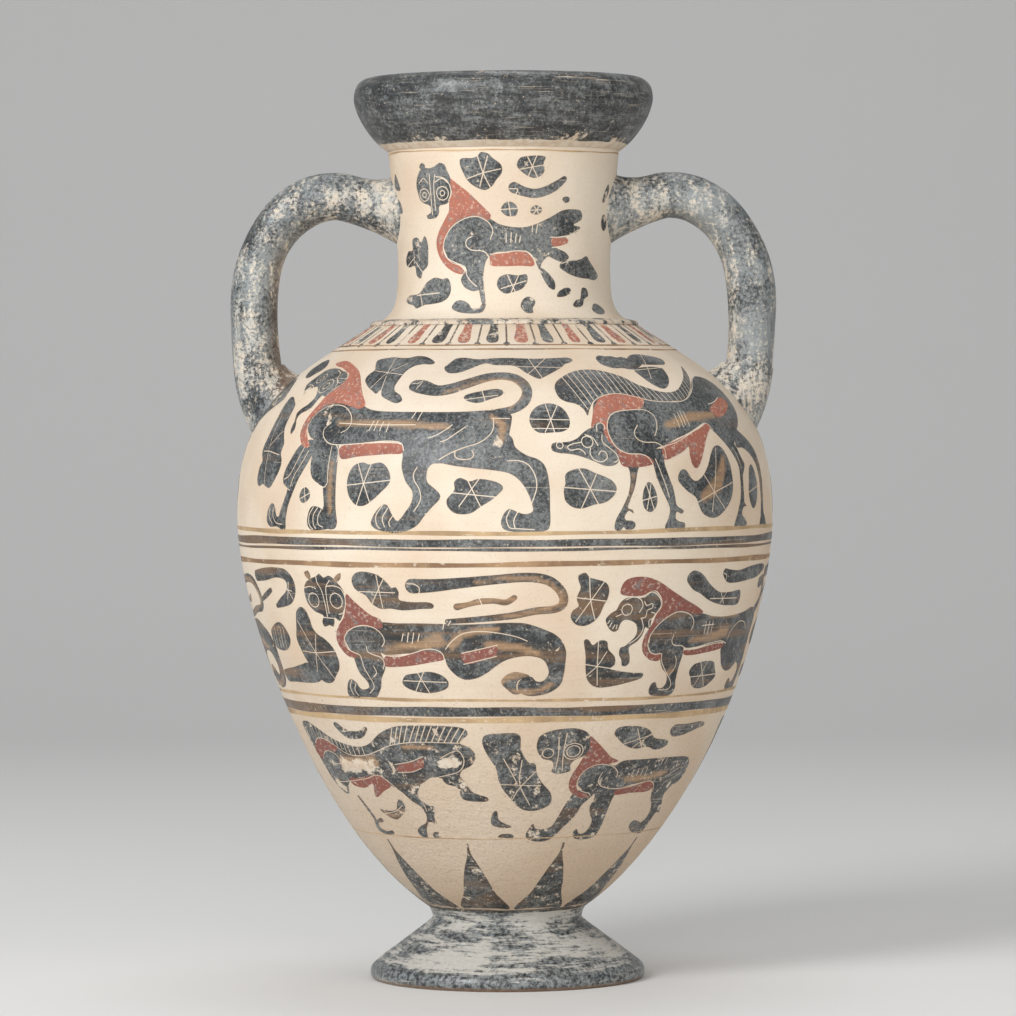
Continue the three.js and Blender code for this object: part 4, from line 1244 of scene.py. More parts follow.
LEFT_FILLERS = {
    "slip": [
        [(-107, 31), (-105.5, 35), (-104, 38.5), (-100, 40.7), (-97, 39), (-95.5, 35), (-95, 31.5),
         (-92.5, 28.5), (-88.5, 26.5), (-84.5, 22.5), (-83, 17), (-84, 13), (-87.5, 9.5), (-90, 7),
         (-94, 6),
         (-98, 7), (-100.5, 10), (-105, 15), (-107.5, 20), (-109, 26)],
        [(-134, 10), (-128, 11.5), (-120, 12.5), (-112, 14), (-105, 15), (-99, 11), (-98, 8), (-103, 6),
         (-112, 5.5), (-122, 5.5), (-132, 5.5)],
        [(-134, 28), (-128, 31.5), (-122, 33), (-118, 31.5), (-115, 27), (-116, 23.5), (-121, 20.5),
         (-128, 20), (-134, 22)],
    ],
    "strokes": [
        [(-135, 53.5, 5), (-125, 54.5, 5.5), (-115, 55.5, 4.5), (-107, 54.5, 5), (-104, 50, 6),
         (-107, 45, 6), (-113, 42.5, 4.5), (-119, 40.5, 2)],
        [(-134, 43, 2), (-127, 45.5, 2.6), (-122, 47.5, 2.2)],
    ],
    "cuts": [
        [(-105, 34.5), (-97, 20), (-88.5, 8)], [(-94, 28.5), (-97, 20), (-100, 11)],
        [(-107, 20.5), (-97, 20), (-84, 21)], [(-110, 48.5), (-104, 47.5)], [(-108.5, 44), (-105.5, 51.5)],
        [(-104.5, 44), (-109, 51)],
    ] + [[(-133 + 3 * k, 21), (-131 + 3 * k, 31)] for k in range(5)],
}

SECOND_LION = {
    "slip": [
        [(43, 36), (43.5, 34), (45, 31.5), (47, 30.3), (49, 31), (50, 34), (52, 35.5), (55, 35),
         (57.5, 33.5), (58.5, 31), (58, 28), (55, 25), (53, 23.5), (51.2, 23), (51, 20), (52.5, 17.5),
         (53, 15), (55, 14.5), (56.7, 16), (56.5, 19), (55.5, 23), (59, 25.5), (61.5, 28.5), (62.5, 32),
         (64.8, 31), (65.2, 35), (67, 38), (69.5, 41), (69, 44), (67, 46.5), (64.5, 48), (61.5, 46.5),
         (59, 45), (55.5, 45.5), (51.5, 45), (49, 43), (47.5, 40), (45, 38.5)],
        [(66, 24), (66, 30), (69, 34), (74, 37.5), (80, 38.8), (88, 38), (95, 37), (103, 35.5), (112, 35),
         (122, 35.5), (132, 36.5), (140, 38), (147, 37), (150, 32), (148, 24), (140, 20), (130, 22),
         (120, 23), (112, 23.3), (102, 22.5), (92, 21.5), (86, 22), (80, 23), (75, 19), (68, 20)],
        [(62.3, 24), (64, 20), (67.5, 17), (72.5, 16.5), (74, 19.5), (68, 21), (65.5, 25)],
        [(73.5, 21), (73.5, 17), (75.5, 13), (79, 10), (80, 6), (78, 3.7), (75, 4), (73.5, 6.5), (71.3, 6),
         (70.2, 3), (71.5, 0.7), (76, 0), (82, -0.3), (85.5, 1), (86.7, 4), (85.8, 7), (86, 14), (86.7, 20),
         (85, 25), (79, 26)],
        [(116, 22), (117, 17), (121, 12), (127, 9.5), (133, 10), (138, 13), (141, 18), (146, 25), (148, 33),
         (140, 36), (125, 33)],
        [(138, 14), (142, 12), (145, 9), (144, 5), (140, 3.5), (137, 5.5), (134.5, 5), (133.5, 2), (136, 0),
         (143, -0.2), (149, 0.5), (150.5, 4), (151.5, 10), (150, 17), (149, 24), (146, 30), (136, 24)],
    ],
    "strokes": [[(146, 36, 4), (153, 40, 4), (156, 45, 4), (152, 50, 4.5), (146, 49, 5)]],
    "thin": [[(90, 25, 3), (104, 26, 5), (116, 28, 6)], [(100, 36, 2), (125, 35, 2.5)], [(76, 8, 2),
                                                                                         (82, 12, 3)]],
    "red": [
        [(49, 47), (49, 50), (51, 53), (56, 54.3), (62, 53.8), (68, 51.5), (75, 47.5), (83, 43.5), (91, 40),
         (95, 37.5), (90, 37), (84, 38.3), (79, 38.7), (74, 37), (69, 33), (66, 29.5), (65, 25),
         (65.5, 21.5), (68, 19.8), (73.5, 19.3), (73.5, 17), (69, 16.7), (64.5, 19), (62.2, 23), (63, 28.5),
         (65.5, 32.5), (67.5, 37.5), (69.8, 41), (69, 45), (65, 48.2), (59, 46), (53, 46)],
        [(87, 20.5), (95, 20.8), (105, 22.3), (114, 22.8), (117, 21.5), (113, 20), (103, 19), (94, 18.3),
         (88, 18.5)],
    ],
    "cuts": [
        ring(52.5, 40, 2.5), [(44, 34), (45, 35.5)], [(45, 32.5), (46, 34.5)], [(46.5, 31.5), (47.5, 33.5)],
        [(48.2, 31.5), (48.5, 33.5)], [(51.5, 44.3), (55, 45.5), (58.5, 44.5), (60, 41.5), (58.5, 38.5)],
        [(47.5, 37), (50, 38)], [(60, 45), (64, 47.5), (68, 45), (69.3, 41.5), (67.5, 38)],
        [(60.5, 43.5), (62, 41.5), (64.5, 42.5), (65, 40.5), (62.5, 39.5), (62, 36.5), (59.5, 36)],
        [(64.5, 38.5), (66.5, 38), (66.5, 36), (64, 35), (64.5, 32)],
        [(60, 36), (61.5, 31.5), (59.5, 27.5), (55.5, 24.7)],
        [(89, 29.5), (90, 33), (88, 36), (84, 37.8), (79, 38.2), (74, 36.3), (69.5, 33), (66, 28.5),
         (65.2, 24), (67, 20.7), (70, 19.5), (73.7, 19.5), (74.5, 16), (78, 11.5), (80.5, 9), (83, 6),
         (83, 3.5), (80, 2.7), (76, 3)],
        [(79, 28), (78.3, 25.5), (80, 23.3), (85, 22.8), (88, 21.5), (95, 21.8), (105, 23.3), (114, 23.8),
         (119, 22.5)],
        [(81, 9.5), (83.5, 13), (83.3, 16.5), (82, 18.5)], [(98.5, 33.5), (98.5, 27.5)],
        [(101, 33.5), (101, 27.5)], [(103.5, 33.5), (103.5, 28)], [(96, 31.5), (105, 31.8)],
        [(119, 24), (122, 29), (128, 32), (135, 31.5), (140, 28)],
    ],
}

SECOND_LION_FILLERS = {
    "slip": [
        [(82, 52), (83, 55), (86, 56.3), (91, 54.5), (96, 50.5), (101, 47.5), (106, 46), (114, 46),
         (122, 46.3), (122, 40.5), (112, 40), (104, 41), (97, 43), (91, 46), (86, 48)],
        [(105, 54), (106, 56.5), (110, 56), (118, 55.5), (130, 57), (145, 57.5), (150, 55.5), (140, 52),
         (128, 50.8), (116, 50), (109, 50.5)],
        [(94, 10.5), (96, 13.5), (100, 14.5), (106, 15), (112, 14.3), (115, 11), (117.3, 7.5), (114, 4.5),
         (108, 2.5), (102, 2.5), (98.5, 4), (96.5, 7)],
    ],
    "cuts": [
        [(105, 47), (109, 41)], [(111, 47), (106, 41)], [(98, 43.5), (120, 43)],
        [(105.5, 54.5), (108, 53.5), (107.5, 51)], [(101, 14.8), (109, 3)], [(107, 15), (100.5, 3.5)],
        [(95, 8), (117, 8.5)],
    ],
}

NECK_PANTHER = {
    "slip": [
        [(-41, 58), (-41.5, 62), (-40, 66), (-37, 69), (-33.5, 68.5), (-30, 69.5), (-28, 70.8), (-25.5, 70),
         (-24.5, 67.5), (-23, 64), (-22.5, 60), (-23.3, 56), (-25, 53), (-29, 52), (-29.5, 49), (-31, 47),
         (-33.5, 46.5), (-36, 46.5), (-36.5, 48), (-34, 49), (-34, 52), (-36.5, 53), (-39.5, 54.5)],
        [(-39, 69), (-37.5, 71), (-35.5, 70), (-36.5, 68)],
        [(-28, 34), (-27, 39), (-23, 43.5), (-18, 46.8), (-12, 47.3), (-6, 46), (-2, 43.7), (3, 42.5),
         (9, 42.3), (15, 44), (21, 46.8), (27, 49.8), (33, 50.3), (37, 49.5), (37.5, 46), (33, 43.5),
         (37, 42.5), (34, 40), (29, 38.8), (24, 38), (21.5, 36.5), (24, 33.5), (29, 31.5), (31, 29),
         (27, 27.3), (23, 28.5), (20, 29.5), (17, 26.5), (16, 24), (13.5, 28), (11, 31), (4, 31.5),
         (-3, 31.5), (-6, 30), (-8, 27.5), (-9, 23), (-9, 15.5), (-11, 15), (-14, 14.5), (-18, 16.5),
         (-19.5, 20), (-17, 24), (-20, 26), (-25, 28)],
        [(15, 25), (18, 24), (21.5, 21), (23.5, 18), (23, 15), (20.5, 16), (18, 19.5), (16.5, 22.5)],
        [(24, 12), (25.5, 14.5), (29, 16), (31.5, 15.5), (31, 13.5), (27.5, 12)],
        [(26, 25), (28, 27.5), (33, 28), (38, 28.5), (42, 30), (44, 28), (47, 25.5), (51, 21.5), (48, 19.5),
         (43, 20), (37, 20.5), (31, 22)],
        [(-22.8, 7), (-21.5, 10), (-18.5, 10.5), (-15.5, 9), (-13.5, 6.5), (-10.5, 7), (-9, 9.8),
         (-7.8, 8.5), (-8.5, 5.5), (-10, 4), (-15, 3.8), (-19.5, 4.8)],
        [(7, 7.5), (8, 10.5), (10.5, 12), (13, 11), (13.5, 9), (12, 6.5), (12, 4), (9.5, 3.8), (8, 5.3)],
        [(31.5, 8), (34, 10.5), (36.5, 11), (37.5, 13.5), (38.5, 16), (41.5, 15.5), (42, 12.5), (39, 11),
         (37, 8), (33.5, 7)],
        [(42, 6), (45, 9), (49, 8), (51, 5.5), (48, 3.5), (44, 3.5)],
    ],
    "strokes": [[(-10, 16, 2.5), (-9.5, 13, 2.2), (-9, 10, 2)]],
    "bare": [[(-9.2, 25, 4.5), (-8.5, 15, 4)], [(-9, 9, 4), (-13, 6, 3)], [(13, 27, 4), (23, 31.5, 4)],
             [(30, 13, 4.5), (36, 11, 4)], [(9.5, 8, 4), (12, 11, 3)], [(34, 47, 5), (36, 44, 4)]],
    "red": [
        [(-23, 63.5), (-20, 61.5), (-15, 57.5), (-10, 52.5), (-5.5, 47.5), (-7, 45.5), (-10, 47),
         (-15, 47.3), (-20, 45.5), (-24.5, 42), (-27.5, 37.5), (-28.5, 33), (-27, 29.5), (-24, 27),
         (-20, 25.5), (-17.5, 22.5), (-20, 22), (-24, 23.5), (-28, 26.5), (-31, 31), (-31.8, 36), (-30, 41),
         (-27, 45.5), (-24.5, 49.5), (-24, 53.5), (-22.5, 58)],
        [(-6, 30), (0, 31), (6, 31.7), (10.5, 31), (13.5, 27.5), (13, 25.3), (7, 25.5), (0, 25.3),
         (-6, 25.8)],
        [(22, 37.5), (29, 38), (30, 35.5), (23, 34)],
    ],
    "cuts": [
        ring(-37, 57, 2.8), ring(-37, 57, 1.1), ring(-27.2, 57.5, 3), ring(-27.2, 57.5, 1.2),
        [(-33.5, 66), (-33.2, 52), (-33, 48)], [(-30.5, 66), (-31.5, 60), (-31.2, 50)],
        [(-40, 62), (-37, 64.3), (-34.5, 62)], [(-30.5, 62.5), (-27, 64), (-24.3, 62)],
        [(-30, 64.8), (-26, 64), (-23.5, 61), (-23, 57.5), (-24.5, 54)],
        [(-6, 37), (-4.8, 41), (-7, 44.8), (-11.5, 47), (-17, 46.3), (-23, 43), (-27, 38), (-28.3, 33),
         (-26, 29), (-22, 27), (-17.5, 25), (-16.8, 21.5), (-14.5, 18.5), (-12, 16.5)],
        [(-14, 38.5), (-16.5, 37), (-17, 34.5), (-14.5, 32.5), (-9.5, 32), (-7, 30), (-6.3, 26.5)],
        [(-6, 30.5), (0, 31.3), (6, 32), (11, 31.3), (13.5, 28.5), (15.5, 24), (17.5, 22.5)],
        [(1, 39.8), (1, 35.5)], [(3.3, 40), (3, 35.5)], [(5.5, 39.5), (5, 35.5)], [(7.3, 38.5),
                                                                                   (6.8, 35.5)],
        [(12.7, 43.5), (12.5, 40)], [(15, 43.8), (14.3, 39.5)], [(21, 38), (26, 38), (31, 39), (36, 41.5)],
        [(22, 33.5), (26, 33.5), (29, 32.5)], [(27, 26.5), (32, 28), (36, 28.2)],
    ],
}

NECK_FILLERS = {
    "bare": [[(-44, 34, 5), (-40, 38, 4)], [(-50, 11, 5), (-40, 17, 5)], [(56, 45, 5), (55, 58, 5)]],
    "slip": [
        [(-18.5, 70.5), (-17.5, 72.5), (-13, 72.5), (-10.5, 73.5), (-9.5, 75), (-6.5, 74.5), (-4.5, 72.5),
         (-1, 69.5), (-0.7, 66), (-3, 63), (-5, 60), (-8, 58.5), (-12, 60), (-15, 62.5), (-17, 66)],
        [(5.5, 69.5), (7, 72.5), (11, 73.3), (15, 73.5), (18, 72.8), (17, 70.5), (17.5, 67), (16, 64.8),
         (13, 63.7), (9.5, 65), (6.5, 67.5)],
        [(-1.2, 50.5), (1, 53.2), (4, 53), (6, 50.5), (5.3, 47.5), (2, 47), (-0.5, 48.5)],
        [(11.5, 49.5), (13, 51.8), (15.5, 51.5), (17, 49.8), (15, 47.8), (12.5, 48)],
        [(26.3, 54.5), (28, 53), (30, 53.8), (29.8, 55.5), (27.5, 55.8)],
        [(-54.5, 29), (-52, 32.5), (-48, 33), (-47.5, 37.5), (-44, 38.5), (-41, 37), (-38.5, 39),
         (-37, 35.5), (-37, 30), (-37.5, 26), (-40.5, 23.5), (-42, 20.5), (-45, 22), (-46.5, 26),
         (-51, 25.5), (-54, 26.5)],
        [(-52, 11), (-50, 13), (-44, 13.5), (-41, 15), (-38, 18.5), (-33, 20.7), (-29, 20), (-26, 20.3),
         (-24.3, 16.5), (-25, 12.5), (-28, 10), (-33, 9), (-38, 8.5), (-42, 7), (-45, 8.5), (-50, 9.5)],
        [(-3.2, 17.5), (-2, 20.5), (1.5, 21.8), (6, 21.3), (10, 21.7), (10.3, 18.5), (8, 15.5), (4, 14),
         (0.5, 13.3), (-2, 15)],
        [(52, 54.5), (54, 59), (57, 62), (58, 59), (55.5, 55.5), (53.5, 53.8)],
        [(52.5, 46), (54, 48.5), (57.5, 47), (58, 43), (55.5, 41.3), (53, 43)],
        [(-60, 67), (-56.5, 63), (-55, 60), (-58, 59.5), (-62, 61.5)],
        [(-60, 56), (-56, 54), (-54.5, 50), (-58, 49.5), (-62, 52)],
    ],
    "strokes": [
        [(4.5, 59.5, 5), (8, 58, 4.2), (13, 57, 4), (18, 58, 4), (23, 60.5, 3.8), (27, 63.5, 2.5)],
    ],
    "cuts": [
        [(11.7, 49.7), (16.8, 49.9)], [(13, 51.8), (15.5, 47.9)], [(15.6, 51.6), (13, 48)],
        [(-11, 74), (-8.5, 66), (-5.5, 59.5)], [(-6.5, 73.5), (-8.5, 66), (-10, 60)],
        [(-15.5, 63.5), (-8.5, 66), (-1, 67.7)], [(10, 73), (14.5, 64)], [(14, 73.5), (10.5, 64.5)],
        [(7, 67.5), (17.5, 69.5)], [(2.5, 59), (6, 58.8), (4.8, 56)], [(2, 53.5), (3, 47)], [(-1, 50),
                                                                                             (6, 50.5)],
        [(-53, 26), (-46, 30)], [(-46, 28), (-40, 22.5)], [(-47, 33), (-47, 27)], [(-44, 13), (-30, 14)],
        [(-42, 14), (-39, 8.5)], [(1.5, 21.5), (5, 14)], [(6.5, 21.5), (3, 13.5)], [(-1.5, 15.5), (10, 19)],
    ],
}

LOW_CREST = [(-100, 60), (-90, 57.8), (-80, 53.3), (-72, 50.7), (-64, 50.3)]
LOW_NAPE = [(-100, 54), (-90, 52.6), (-80, 49.2), (-72, 46), (-64, 46)]

LOW_BOAR = {
    "bare": [[(-80, 40, 9), (-61, 41, 8)], [(-27, 43, 8), (-21, 44, 7)], [(-94, 30, 7), (-88, 27, 6)]],
    "slip": [
        [(-104, 58), (-98, 60.5), (-92, 58.5), (-84, 54.5), (-78, 52), (-72, 50.5), (-65, 50),
         (-59, 52), (-54, 56),
         (-49, 59), (-43, 61), (-34, 61.5), (-24, 61.5), (-17, 60.5), (-15.5, 57.5), (-19, 53.5), (-15, 51),
         (-13, 47), (-15, 42.5), (-19, 40), (-21, 37), (-26, 35.5), (-33, 36), (-38, 33), (-43, 31),
         (-50, 30),
         (-59, 35.5), (-66, 35), (-78, 33), (-84, 30), (-88, 25), (-93, 26), (-98, 32), (-101, 44)],
        [(-56, 33), (-50, 28), (-46, 23.5), (-42, 20.5), (-40.5, 16), (-42, 12), (-46, 10), (-49, 7),
         (-47, 4),
         (-44, 4), (-43, 8), (-40, 12.5), (-36, 11.5), (-36.5, 15), (-35, 20.5), (-39, 22), (-42, 27),
         (-40, 33)],
        [(-28, 36.5), (-27, 33), (-22, 31), (-20, 25), (-10, 24), (-9, 26), (-15, 28.5), (-17, 31),
         (-19, 35),
         (-22, 39)],
        [(-8, 12), (-7, 18), (-5, 19), (-4, 14), (2, 10.5), (-3, 10)], [(-5, 5), (-3, 4.5), (3, 4.5),
                                                                        (2, 6.5), (-3, 6.5)],
        [(-40, 4), (-36, 4.5), (-36.5, 7), (-40, 6.5)],
        [(-68, 18), (-66, 15.5), (-60, 13), (-54, 16), (-51, 20), (-52.5, 24.5), (-55, 22), (-57, 18.5),
         (-62, 17.5)],
    ],
    "strokes": [
        [(-80.5, 24, 1.5), (-77.5, 17, 2.2), (-76, 12, 2.2), (-77, 7, 3), (-72, 5, 2), (-67, 5.5, 2)],
        [(-75, 11, 1.5), (-71, 12, 2.4)], [(-75, 60, 3), (-70, 56, 4), (-63, 56, 3.5), (-59, 59, 2)],
    ],
    "thin": [[(-80, 42, 6), (-60, 43, 6)], [(-43, 50.5, 2.5), (-30, 51, 2)], [(-66, 16, 3),
                                                                              (-60, 15, 3), (-54, 18, 3)]],
    "red": [
        [(-102, 46), (-96, 51), (-90, 52.5), (-84, 51), (-80, 49), (-83, 46.5), (-88, 46.5), (-94, 45),
         (-98, 42)],
        [(-80, 33.5), (-72, 33.8), (-64, 35.8), (-58, 35), (-55, 31), (-60, 28), (-66, 24.5), (-67, 26),
         (-65.5, 31.5), (-72, 29), (-80, 30)],
        [(-49, 39), (-47, 42), (-40, 43.5), (-35.5, 45.5), (-36, 41), (-42, 38.8)],
    ],
    "cuts": bristles(LOW_CREST, LOW_NAPE, 15)
    + bristles([(-46, 60), (-36, 61.5), (-16, 60.5)], [(-49, 51.5), (-38, 53.5), (-20, 53.5)], 13) + [
        [(-98, 50), (-94, 52.3), (-88, 52.5), (-82, 50), (-76, 46.5), (-70, 45.3), (-63, 46), (-57, 48),
         (-50, 51),
         (-44, 52.5), (-34, 53.5), (-19, 53.3)],
        [(-97, 42), (-93, 45.5), (-88, 46.5), (-83, 44.5), (-80.5, 40.5), (-82, 36)], [(-90, 40),
                                                                                       (-72, 41),
                                                                                       (-58, 40.2)],
        [(-97, 38), (-95, 33), (-91, 31), (-80, 32), (-68, 34), (-62, 36), (-58, 35), (-52, 29.5)],
        [(-28, 45.5), (-24, 48), (-20, 49.5), (-18, 46), (-18.5, 42), (-21, 39), (-26, 37.3), (-31, 36)],
        [(-49, 42), (-41, 43.8), (-35, 46.5)], [(-49, 38), (-42, 38.5), (-37, 40.5)], [(-43, 27),
                                                                                       (-40.5, 23),
                                                                                       (-39.5, 18)],
        [(-67, 15.5), (-58, 17.5), (-52, 21)], [(-73, 57), (-61, 58.5)],
    ],
}

LOW_PANTHER = {
    "slip": [
        [(11, 52), (12, 56.5), (16, 59), (21, 60), (26, 60), (30.5, 58), (32.5, 54), (32.5, 49), (30, 46),
         (27, 44.5), (25.5, 42), (26, 39.5), (23.5, 38.3), (20.5, 38), (18, 39), (18.5, 42), (17.5, 44.5),
         (14, 45.5), (11.8, 48.5)],
        [(30, 33), (31.5, 38), (36, 41.5), (42, 42.3), (46, 41), (50, 43.3), (60, 43.5), (75, 43.5),
         (88, 43), (94, 41), (97, 36), (94, 30), (86, 28), (80, 27), (75, 28), (70, 32), (60, 31), (50, 29),
         (44, 29), (36, 28)],
        [(31, 29), (28, 25), (26, 20), (24, 14.5), (22, 10.5), (18, 9), (14, 9.5), (12.5, 12), (10, 8),
         (9.5, 5), (12, 3), (17, 2), (22, 3), (25.5, 6), (28, 9.5), (31, 13), (33.5, 17), (35, 21.5),
         (38, 25), (40, 29)],
        [(40, 30), (40.5, 25), (39.5, 20), (41, 16), (43, 13), (43, 9), (41, 6), (38, 6), (36, 8.5),
         (34.5, 6.5), (36, 3.5), (40, 2.5), (46, 2.8), (49, 5), (50, 10), (50, 18), (50.5, 25), (52, 30)],
        [(72, 32), (74, 27), (76, 22.5), (80, 18), (81.5, 13), (79, 9.5), (75.5, 10.5), (71, 11), (70, 8),
         (74, 5), (80, 3.5), (85, 3.5), (87, 8), (88, 14), (92, 14), (89, 19), (86, 24), (90, 30),
         (85, 34)],
    ],
    "thin": [[(54, 34, 3), (66, 34, 4), (78, 36, 3)]],
    "red": [
        [(32, 56), (35, 53.5), (39, 49.5), (43, 45.5), (47, 43.5), (44, 42.3), (39, 42), (34, 40),
         (30.5, 36.5), (30, 32), (31.5, 28.8), (35, 27.5), (37.5, 25.5), (33, 25.5), (28.5, 28), (26.5, 32),
         (27, 37), (29, 41.5), (30.5, 45.5), (32.5, 50)],
        [(51, 29), (58, 30), (66, 31.5), (71, 31.5), (73, 28.5), (70, 26.5), (60, 26.5), (51, 26)],
    ],
    "cuts": [
        ring(15.7, 48.3, 2.3), ring(26, 49, 2.8), ring(26, 49, 4), [(19.5, 56), (20, 47), (19.5, 40)],
        [(22.5, 58), (22, 48), (22.5, 39)],
        [(38, 26), (37, 27.5), (33, 28.8), (30.3, 32), (30.8, 36.5), (34, 40.5), (39, 42), (45, 40.8),
         (48.5, 37.5), (48.5, 35)],
        [(41, 38), (40, 34), (42, 31), (47, 29.5), (55, 29.3), (63, 31), (69, 32), (73, 30), (75, 26)],
        [(57, 38.5), (56.5, 35)], [(59.5, 39), (59.5, 35)], [(62, 39), (61.8, 35)], [(64.5, 39),
                                                                                     (64.3, 35.5)],
        [(72.5, 43), (72, 40)], [(75, 43), (74.5, 40.5)], [(79, 33.5), (90, 38)], [(80, 30), (92, 34.5)],
    ],
}

LOW_FILLERS = {
    "slip": [
        [(-9, 57), (-4, 58), (4, 57.5), (5, 50), (8, 44), (11, 43), (12, 38), (15, 33), (19, 28),
         (19.5, 23),
         (16, 20), (10, 19), (5, 21), (1, 26), (-2, 30), (-4, 35), (-5, 41), (-8, 47), (-10, 53)],
        [(42, 57), (44, 60), (52, 60), (58, 58), (62, 54), (66, 53), (69, 52.5), (71, 51.5), (71, 50),
         (68, 48.3), (64, 48), (60, 49.5), (54, 49), (49, 50.5), (45, 53.5)],
        [(70, 57), (72, 59.5), (80, 59.5), (90, 60), (94, 58), (86, 56), (78, 54), (72, 54)],
    ],
    "cuts": [
        [(5.5, 45), (5, 33), (10, 22)], [(-2, 46), (4, 33)], [(12, 40), (5, 31), (2, 25)], [(-5, 33),
                                                                                            (14, 32)],
        [(52, 59), (57, 49)], [(60, 56), (52, 49.5)], [(47, 51.5), (62, 56)],
    ],
}

RAY = {
    "slip": [
        [(-14.5, 4), (-8, 15), (-5, 25), (-2.5, 34), (-0.6, 41), (-0.3, 47), (0.3, 47), (0.6, 41),
         (2.5, 34), (5, 25), (8, 15), (14.5, 4), (7, 4), (0, 4), (-7, 4)],
    ],
}

TONGUE = [(-1.6, 20.8), (-1.9, 16), (-2.6, 11), (-2.9, 8), (-2.2, 5.5), (0, 4.4), (2.2, 5.2), (2.9, 8),
          (2.6, 12), (2.2, 17), (2, 20.8)]

ROSETTE = LION_FILLERS["slip"][3]
ROSETTE_STAR = [[(-60, 29.7), (-60, 11.5)], [(-69, 24), (-50, 17)], [(-68, 15), (-50, 27)]]

HANDLE_TAIL = [(-17, 66), (-16, 56), (-13, 47), (-9, 41), (-4, 37), (0, 32), (4, 36), (9, 41), (13, 47),
               (16, 56),
               (17, 66), (9, 74), (0, 77), (-9, 74)]

WIDE_TAIL = [(-34, 66), (-40, 60), (-33, 55), (-25, 52), (-19, 47), (-12, 42), (-7, 34), (-3, 24), (1, 20),
             (5, 28), (10, 38), (16, 42), (20, 48), (26, 52), (34, 56), (41, 61), (35, 68), (24, 74),
             (0, 77),
             (-22, 74)]


# ---------------------------------------------------------------- where everything is painted

LINE_STEPS = 540  # points round a painted line
LINE_PITCH = 0.6  # millimetres across one


def lines(name, wall, rows, material):
    """Rings of paint round the pot, each between two heights, with a hand's wobble."""
    steps = LINE_STEPS
    angle = np.arange(steps) * 2 * math.pi / steps
    points, faces, edge = [], [], []
    for low_z, high_z in rows:
        seed = low_z * 0.37
        drift = 0.28 * np.sin(2 * angle + seed) + 0.15 * np.sin(5 * angle + 2 * seed)
        drift += 0.08 * np.sin(13 * angle + seed)
        swell = 0.12 * np.sin(7 * angle + 3 * seed) + 0.08 * np.sin(17 * angle + seed)
        bottom, top = wall.arc_at(low_z), wall.arc_at(high_z)
        width = top - bottom
        count = max(3, int(math.ceil(width / LINE_PITCH)) + 1)
        outside = [(k / (count - 1), SLIP_LIFT) for k in range(count)]
        across = outside + [(1, PAINT_SINK), (0, PAINT_SINK)]
        first = sum(len(ring) for ring in points)
        for share, lift in across:
            half = width / 2 + swell * min(1, width)
            arc = (bottom + top) / 2 + drift + half * (2 * share - 1)
            r, z = wall.at(arc, lift)
            points.append(on_pot(angle, r, z))
            edge.append(np.full(steps, min(share, 1 - share) * width))
        for k in range(len(across)):
            this = first + k * steps
            after = first + (k + 1) % len(across) * steps
            for i in range(steps):
                j = (i + 1) % steps
                faces.append((this + i, this + j, after + j, after + i))
    made = make_object(name, np.vstack(points), faces, material)
    keep_value(made, "edge", np.concatenate(edge))


def from_seam(rows):
    """The heights of lines that are given as (middle above the seam, width)."""
    return [(SEAM + middle - width / 2, SEAM + middle + width / 2) for middle, width in rows]


UNDER_FIRST = [(SEAM - 11, SEAM - 7.8), (SEAM - 12.8, SEAM - 11.65)]
UNDER_SECOND = [(SEAM - 84.1, SEAM - 80.15)]
lines("dark_lines", BODY_WALL, UNDER_FIRST + UNDER_SECOND, SLIP["band"])
lines("brown_lines", BODY_WALL, from_seam([(-18.4, 2.1), (74.85, 0.5), (73, 0.5)]), LINE)
lines(
    "ochre_lines", BODY_WALL, from_seam([(-4.9, 1.7), (-76.75, 1.1), (-85.5, 2.3), (-138.45, 0.35)]),
    OCHRE,
)
lines("waist_line", BODY_WALL, [(FOOT_TOP + 2.3, FOOT_TOP + 3.8)], SLIP["worn"])
lines("neck_top_line", NECK_WALL, [(MOUTH_BASE - 1.9, MOUTH_BASE - 1.3)], OCHRE)

FIRST = Ground(BODY_WALL, SEAM - 4.85, 115, "crisp")
SECOND = Ground(BODY_WALL, SEAM - 76.45, 112, "streaky")
THIRD = Ground(BODY_WALL, SEAM - 141.65, 84.5, "worn")
ON_NECK = Ground(NECK_WALL, NECK_BASE + 2.35, 48, "speckled")
ROOTS = Ground(BODY_WALL, SEAM - 4.85, 115, "patchy")
RAYS = Ground(BODY_WALL, FOOT_TOP + 1.65, 50, "worn")
TONGUES = Ground(BODY_WALL, SEAM + 73.35, 75, "patchy")

ONCE_ROUND = 2 * math.pi * FIRST.ref_radius
ONCE_ROUND_NECK = 2 * math.pi * ON_NECK.ref_radius
SECOND_GROUP = together(PANTHER_FILLERS, BETWEEN_FILLERS, LEFT_FILLERS, SECOND_LION_FILLERS)

for face, shift in (("front", 0), ("back", ONCE_ROUND / 2)):
    paint(f"lion_{face}", FIRST, LION, (shift, 0))
    paint(f"lion_fillers_{face}", FIRST, LION_FILLERS, (shift, 0))
    paint(f"boar_{face}", FIRST, BOAR, (shift, 0))
    paint(f"boar_fillers_{face}", FIRST, BOAR_FILLERS, (shift, 0))

for word, shift in (("first", 0), ("second", 290)):
    paint(f"panther_{word}", SECOND, PANTHER, (shift, 0))
    paint(f"small_lion_{word}", SECOND, SECOND_LION, (shift, 0))
    paint(f"middle_fillers_{word}", SECOND, SECOND_GROUP, (shift, 0))
paint("panther_third", SECOND, PANTHER, (545, 0), 0.95)
paint("middle_fillers_third", SECOND, PANTHER_FILLERS, (545, 0), 0.95)

